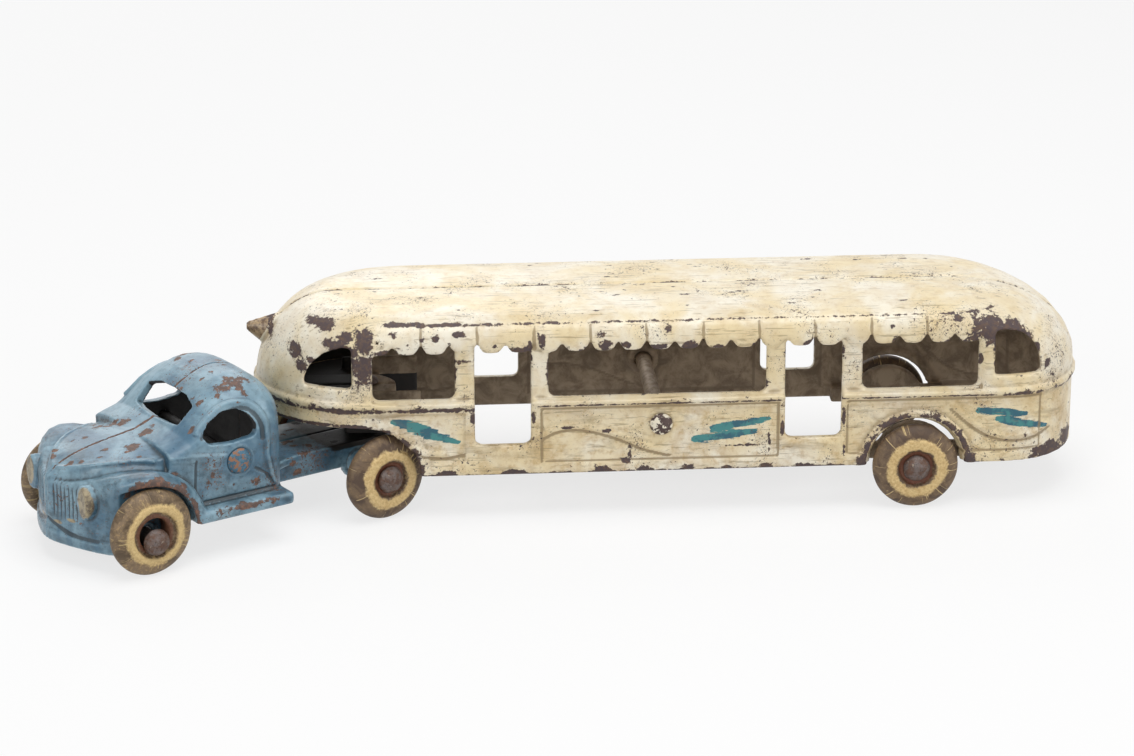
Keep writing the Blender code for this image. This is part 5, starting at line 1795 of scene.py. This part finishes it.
def softened(profile: list[Flat], radius: float, steps: int = 2) -> list[Flat]:
    """Round the corners of an open profile, apart from its two ends.

    Args:
        profile: the corners.
        radius: how far a rounding reaches from its corner.
        steps: how many parts it has.

    Returns:
        The finer profile.
    """
    result = [profile[0]]
    for before, corner, after in zip(profile, profile[1:], profile[2:]):
        c = Vector(corner)
        to_before, to_after = Vector(before) - c, Vector(after) - c
        reach = min(radius, to_before.length / 2.1, to_after.length / 2.1)
        start = c + to_before.normalized() * reach
        end = c + to_after.normalized() * reach
        for k in range(steps + 1):
            t = k / steps
            result.append(tuple(start * (1 - t) ** 2 + c * 2 * t * (1 - t) + end * t**2))
    result.append(profile[-1])
    return result


def roughen(
    mesh: bpy.types.Mesh, amount: float, scale: float,
    share: Callable[[Vector], float] = lambda point: 1.0,
) -> None:
    """Move points along their normals by a smooth noise.

    Args:
        mesh: the mesh to change.
        amount: the largest move.
        scale: noise cycles per millimetre.
        share: gives each point's part of the move, from its place in metres.
    """
    moves = []
    for vertex in mesh.vertices:
        value = noise.noise(vertex.co * (scale / MM))
        moves.append(vertex.normal * (value * amount * share(vertex.co) * MM))
    for vertex, move in zip(mesh.vertices, moves):
        vertex.co += move


@dataclass
class TurnedPiece:
    """A piece of revolution that stands for one node."""

    node: str
    body: str
    axis: Vector
    finish: bpy.types.Material
    slot: str
    segments: int = 40
    shank: float = 0.6

    def centre(self) -> Vector:
        """Return the middle of the node's box."""
        low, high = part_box(self.node)
        return (low + high) / 2

    def mark_heads(self, mesh: bpy.types.Mesh, reach: float) -> None:
        """Tell the pin's heads from its rod, for its finish.

        Args:
            mesh: the pin.
            reach: how far the rod reaches from the pin's middle.
        """
        away = (read_coords(mesh) - np.array(self.centre())) @ np.array(self.axis)
        set_attribute(mesh, "head", smooth((np.abs(away) / MM - reach) / 0.1))

    def dress(self, mesh: bpy.types.Mesh) -> None:
        """Make a finished mesh the piece."""
        dress(mesh, self.node, self.body, self.finish)


@dataclass
class Wheel(TurnedPiece):
    """A solid rubber wheel with a raised ring and a sunk hub."""

    segments: int = 96
    outward: int = 1
    radius: float = 11.03
    half_width: float = 2.95
    bore: float = 2.3
    hub: float = 4.6
    ring: float = 7.3
    hub_depth: float = 1.2
    worn: float = 0.1

    def profile(self) -> list[Flat]:
        """Draw the profile, from the hub's floor over the tread to the inner face.

        Returns:
            The radius and the height of each point.
        """
        half, r = self.half_width, self.radius
        rows = [
            (self.bore, half - self.hub_depth), (self.hub - 0.25, half - self.hub_depth),
            (self.hub + 0.15, half - 0.05), (self.ring, half), (self.ring + 0.35, half - 0.5),
            (r - 2.0, half - 0.75), (r - 0.7, half - 1.7), (r, 0.2), (r - 0.25, -half + 1.4),
            (r - 1.6, -half + 0.35), (self.ring, -half), (self.bore, -half),
        ]
        return softened([(a, self.outward * b) for a, b in rows], 0.7, 3)

    def build(self) -> None:
        """Make the wheel with the values that its finish reads."""
        centre = self.centre()
        mesh = turned(self.node + "_tyre", self.profile(), self.segments, centre, self.axis)
        roughen(mesh, self.worn, 0.16)
        coords = read_coords(mesh) - np.array(centre)
        axis = np.array(self.axis)
        flat = coords - np.outer(coords @ axis, axis)
        radii = np.linalg.norm(flat, axis=1)
        across = np.cross(axis, (0.0, 0.0, 1.0))
        unit = flat / np.maximum(radii, 1e-9)[:, None]
        seed = 7.0 * (centre.x + centre.y) / MM
        around = np.stack([unit @ across, unit[:, 2], np.full(len(unit), seed)], axis=1)
        set_attribute(mesh, "radius", radii / MM)
        set_attribute(mesh, "around", around)
        self.dress(mesh)


@dataclass
class Axle(TurnedPiece):
    """A steel axle with a hammered head at each end."""

    radius: float = 2.0
    head: float = 3.45
    head_height: float = 2.7
    reach: float = 29.2

    def build(self) -> None:
        """Make the axle."""
        h, r, top = self.reach, self.head, self.head_height
        rows = [(0.0, h + top), (1.4, h + top * 0.97), (2.5, h + top * 0.72),
                (3.25, h + top * 0.38), (r, h + 0.25), (r - 0.2, h), (self.radius, h)]
        profile = softened(rows, 0.5) + [(self.radius, h - self.shank)]
        profile += [(a, -b) for a, b in reversed(profile)]
        centre, axis = self.centre(), self.axis
        mesh = turned(self.node + "_rod", profile, self.segments, centre, axis)

        def at_heads(point: Vector) -> float:
            """Return 1 on the heads and 0 along the rod."""
            return 1.0 if abs((point - centre).dot(axis)) > (h + 0.3) * MM else 0.0

        roughen(mesh, 0.3, 0.45, at_heads)
        self.mark_heads(mesh, h - 0.1)
        self.dress(mesh)


@dataclass
class Rivet(TurnedPiece):
    """A cross rivet with two low domed heads."""

    radius: float = 2.0
    head: float = 2.9
    head_height: float = 1.35
    reach: float = 27.0

    def build(self) -> None:
        """Make the rivet."""
        h, r, top = self.reach, self.head, self.head_height
        rows = [(0.0, h + top), (r * 0.5, h + top * 0.9), (r * 0.85, h + top * 0.55),
                (r, h + 0.12), (r - 0.1, h + 0.02), (self.radius, h + 0.02)]
        profile = softened(rows, 0.4) + [(self.radius, h - self.shank)]
        profile += [(a, -b) for a, b in reversed(profile)]
        mesh = turned(self.node + "_pin", profile, self.segments, self.centre(), self.axis)
        roughen(mesh, 0.08, 0.5)
        self.mark_heads(mesh, h - 0.1)
        self.dress(mesh)


@dataclass
class Kingpin(TurnedPiece):
    """The upright pin of the hitch."""

    radius: float = 2.0

    def build(self) -> None:
        """Make the pin from the heights of its node."""
        low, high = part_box(self.node)
        bottom, top, r = low.z / MM, high.z / MM, self.radius
        rows = [(0.0, top), (2.1, top - 0.3), (3.2, top - 1.0), (3.55, top - 1.9),
                (r, top - 2.0), (r, top - 2.8), (r, bottom + 2.8), (r, bottom + 1.35),
                (3.1, bottom + 1.3), (2.5, bottom + 0.05), (0.0, bottom)]
        foot = Vector(((low.x + high.x) / 2, (low.y + high.y) / 2, 0.0))
        profile = softened(rows, 0.4)
        mesh = turned(self.node + "_pin", profile, self.segments, foot, self.axis)
        self.mark_heads(mesh, (top - bottom) / 2 - 2.4)
        self.dress(mesh)


# Studio


@dataclass(frozen=True)
class Lamp:
    """A square soft lamp: its place, the point it faces, its side and its watts."""

    name: str
    at: Point
    aim: Point
    size: float
    power: float

    def build(self) -> None:
        """Add the lamp."""
        data = bpy.data.lights.new(self.name, "AREA")
        data.energy = self.power
        data.size = self.size * MM
        lamp = bpy.data.objects.new(self.name, data)
        lamp.location = Vector(self.at) * MM
        direction = Vector(self.aim) - Vector(self.at)
        lamp.rotation_euler = direction.to_track_quat("-Z", "Y").to_euler()
        bpy.context.scene.collection.objects.link(lamp)


@dataclass
class Studio:
    """A pale floor, soft lamps and the camera of the photograph."""

    eye: Point = (-69.1, -955.1, 372.5)
    tilt: float = 70.5
    turn: float = -4.31
    lens: float = 127.1
    floor_size: float = 6000.0
    floor_grey: Colour = (0.86, 0.86, 0.86)
    floor_share: float = 0.26
    white: Colour = (1.0, 1.0, 1.0)
    world_light: float = 0.28
    lamps: tuple[Lamp, ...] = (
        Lamp("top_lamp", (60.0, -120.0, 900.0), (0.0, 0.0, 20.0), 700.0, 5.5),
        Lamp("front_lamp", (-620.0, -900.0, 560.0), (0.0, 0.0, 20.0), 500.0, 3.0),
        Lamp("side_lamp", (900.0, -380.0, 420.0), (40.0, 0.0, 20.0), 500.0, 2.0),
        Lamp("back_lamp", (-200.0, 900.0, 620.0), (0.0, 0.0, 20.0), 600.0, 2.0),
    )

    def build(self) -> None:
        """Make the floor, the world, the lamps and the camera."""
        self.build_floor()
        self.build_world()
        for lamp in self.lamps:
            lamp.build()
        data = bpy.data.cameras.new("photo_camera")
        data.lens = self.lens
        data.sensor_width = 36.0
        data.clip_start = 0.01
        camera = bpy.data.objects.new("photo_camera", data)
        camera.location = Vector(self.eye) * MM
        camera.rotation_euler = (math.radians(self.tilt), 0.0, math.radians(self.turn))
        bpy.context.scene.collection.objects.link(camera)
        bpy.context.scene.camera = camera
        bpy.context.scene.view_settings.view_transform = "Standard"

    def white_rays(self, graph: Graph) -> Socket:
        """Pick the rays that show the background.

        Args:
            graph: the graph that takes the nodes.

        Returns:
            1 for rays of the camera, of mirrors and through glass.
        """
        rays = graph.node("LightPath").outputs
        seen = graph.math("MAXIMUM", rays["Is Camera Ray"], rays["Is Glossy Ray"])
        return graph.math("MAXIMUM", seen, rays["Is Transmission Ray"])

    def build_floor(self) -> None:
        """Make a wide floor that looks white and keeps the shadow."""
        bm = bmesh.new()
        bmesh.ops.create_grid(bm, x_segments=1, y_segments=1, size=self.floor_size * MM)
        mesh = bpy.data.meshes.new("floor")
        bm.to_mesh(mesh)
        bm.free()
        floor = mesh_object("floor", mesh)
        material, graph, shader = new_material("white_floor")
        graph.feed(shader.inputs["Base Color"], self.floor_grey)
        graph.feed(shader.inputs["Roughness"], 0.9)
        graph.feed(shader.inputs["Specular IOR Level"], 0.1)
        glow = graph.node("Emission", None, {"Color": self.white, "Strength": 1.0})
        share = graph.times(self.white_rays(graph), 1.0 - self.floor_share)
        surface = graph.node("MixShader", None, {
            0: share, 1: shader.outputs[0], 2: glow.outputs[0]})
        output = material.node_tree.nodes["Material Output"]
        graph.feed(output.inputs["Surface"], surface.outputs[0])
        mesh.materials.append(material)

    def build_world(self) -> None:
        """Make an even grey light whose background looks white."""
        world = bpy.data.worlds.new("studio")
        bpy.context.scene.world = world
        world.use_nodes = True
        graph = Graph(world.node_tree)
        background = world.node_tree.nodes["Background"]
        graph.feed(background.inputs["Color"], self.white)
        strength = graph.blend(self.white_rays(graph), self.world_light, 1.0)
        graph.feed(background.inputs["Strength"], strength)


def build_castings(trailer: Place, tractor: Place) -> None:
    """Dress the four halves.

    Args:
        trailer: the frame of the cream body.
        tractor: the frame of the blue tractor.
    """
    cream, blue = CREAM.material(), BLUE.material()
    for side in Side:
        TrailerCasting("trailer", "trailer", side, trailer, "cream_paint", cream).build()
        TractorCasting("tractor", "tractor", side, tractor, "blue_paint", blue).build()


def build_running_gear(tractor: Place) -> None:
    """Dress the wheels, the axles, the rivets and the kingpin.

    Args:
        tractor: the frame of the blue tractor.
    """
    rubber, worn, steel = RUBBER.material(), WORN_RUBBER.material(), STEEL.material()
    straight = Vector((0.0, 1.0, 0.0))
    turned_axis = Vector((-math.sin(tractor.yaw), math.cos(tractor.yaw), 0.0))
    rows = (("trailer", straight, 2.3, 28.85, rubber),
            ("tractor_rear", turned_axis, 2.3, 25.85, rubber),
            ("tractor_front", turned_axis, 4.2, 25.85, worn))
    for row, axis, bore, reach, finish in rows:
        for side in Side:
            node = f"{row}_{side.word}_wheel"
            Wheel(node, node, axis, finish, "white_rubber", outward=side.value, bore=bore,
                  hub=max(Wheel.hub, bore + 1.6)).build()
        Axle(f"{row}_axle", f"{row}_axle", axis, steel, "steel_pin", reach=reach).build()
    Rivet("trailer_cross_rivet", "trailer", straight, CREAM_PIN.material(), "steel_pin").build()
    Rivet("tractor_cross_rivet", "tractor", turned_axis, BLUE_PIN.material(), "steel_pin",
          radius=1.6, head=3.3, head_height=1.1, reach=20.3).build()
    Kingpin("kingpin", "trailer", Vector((0.0, 0.0, 1.0)), steel, "steel_pin").build()


def main() -> None:
    """Build the scene: the shared effects, the dressed castings and running gear, and the
    studio.
    """
    logging.basicConfig(level=logging.INFO, format="%(message)s")
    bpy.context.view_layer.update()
    trailer, tractor = hitch_place(0.0), hitch_place(30.0)
    SharedEffects().build()
    build_castings(trailer, tractor)
    build_running_gear(tractor)
    Studio().build()


if __name__ == "__main__":
    main()
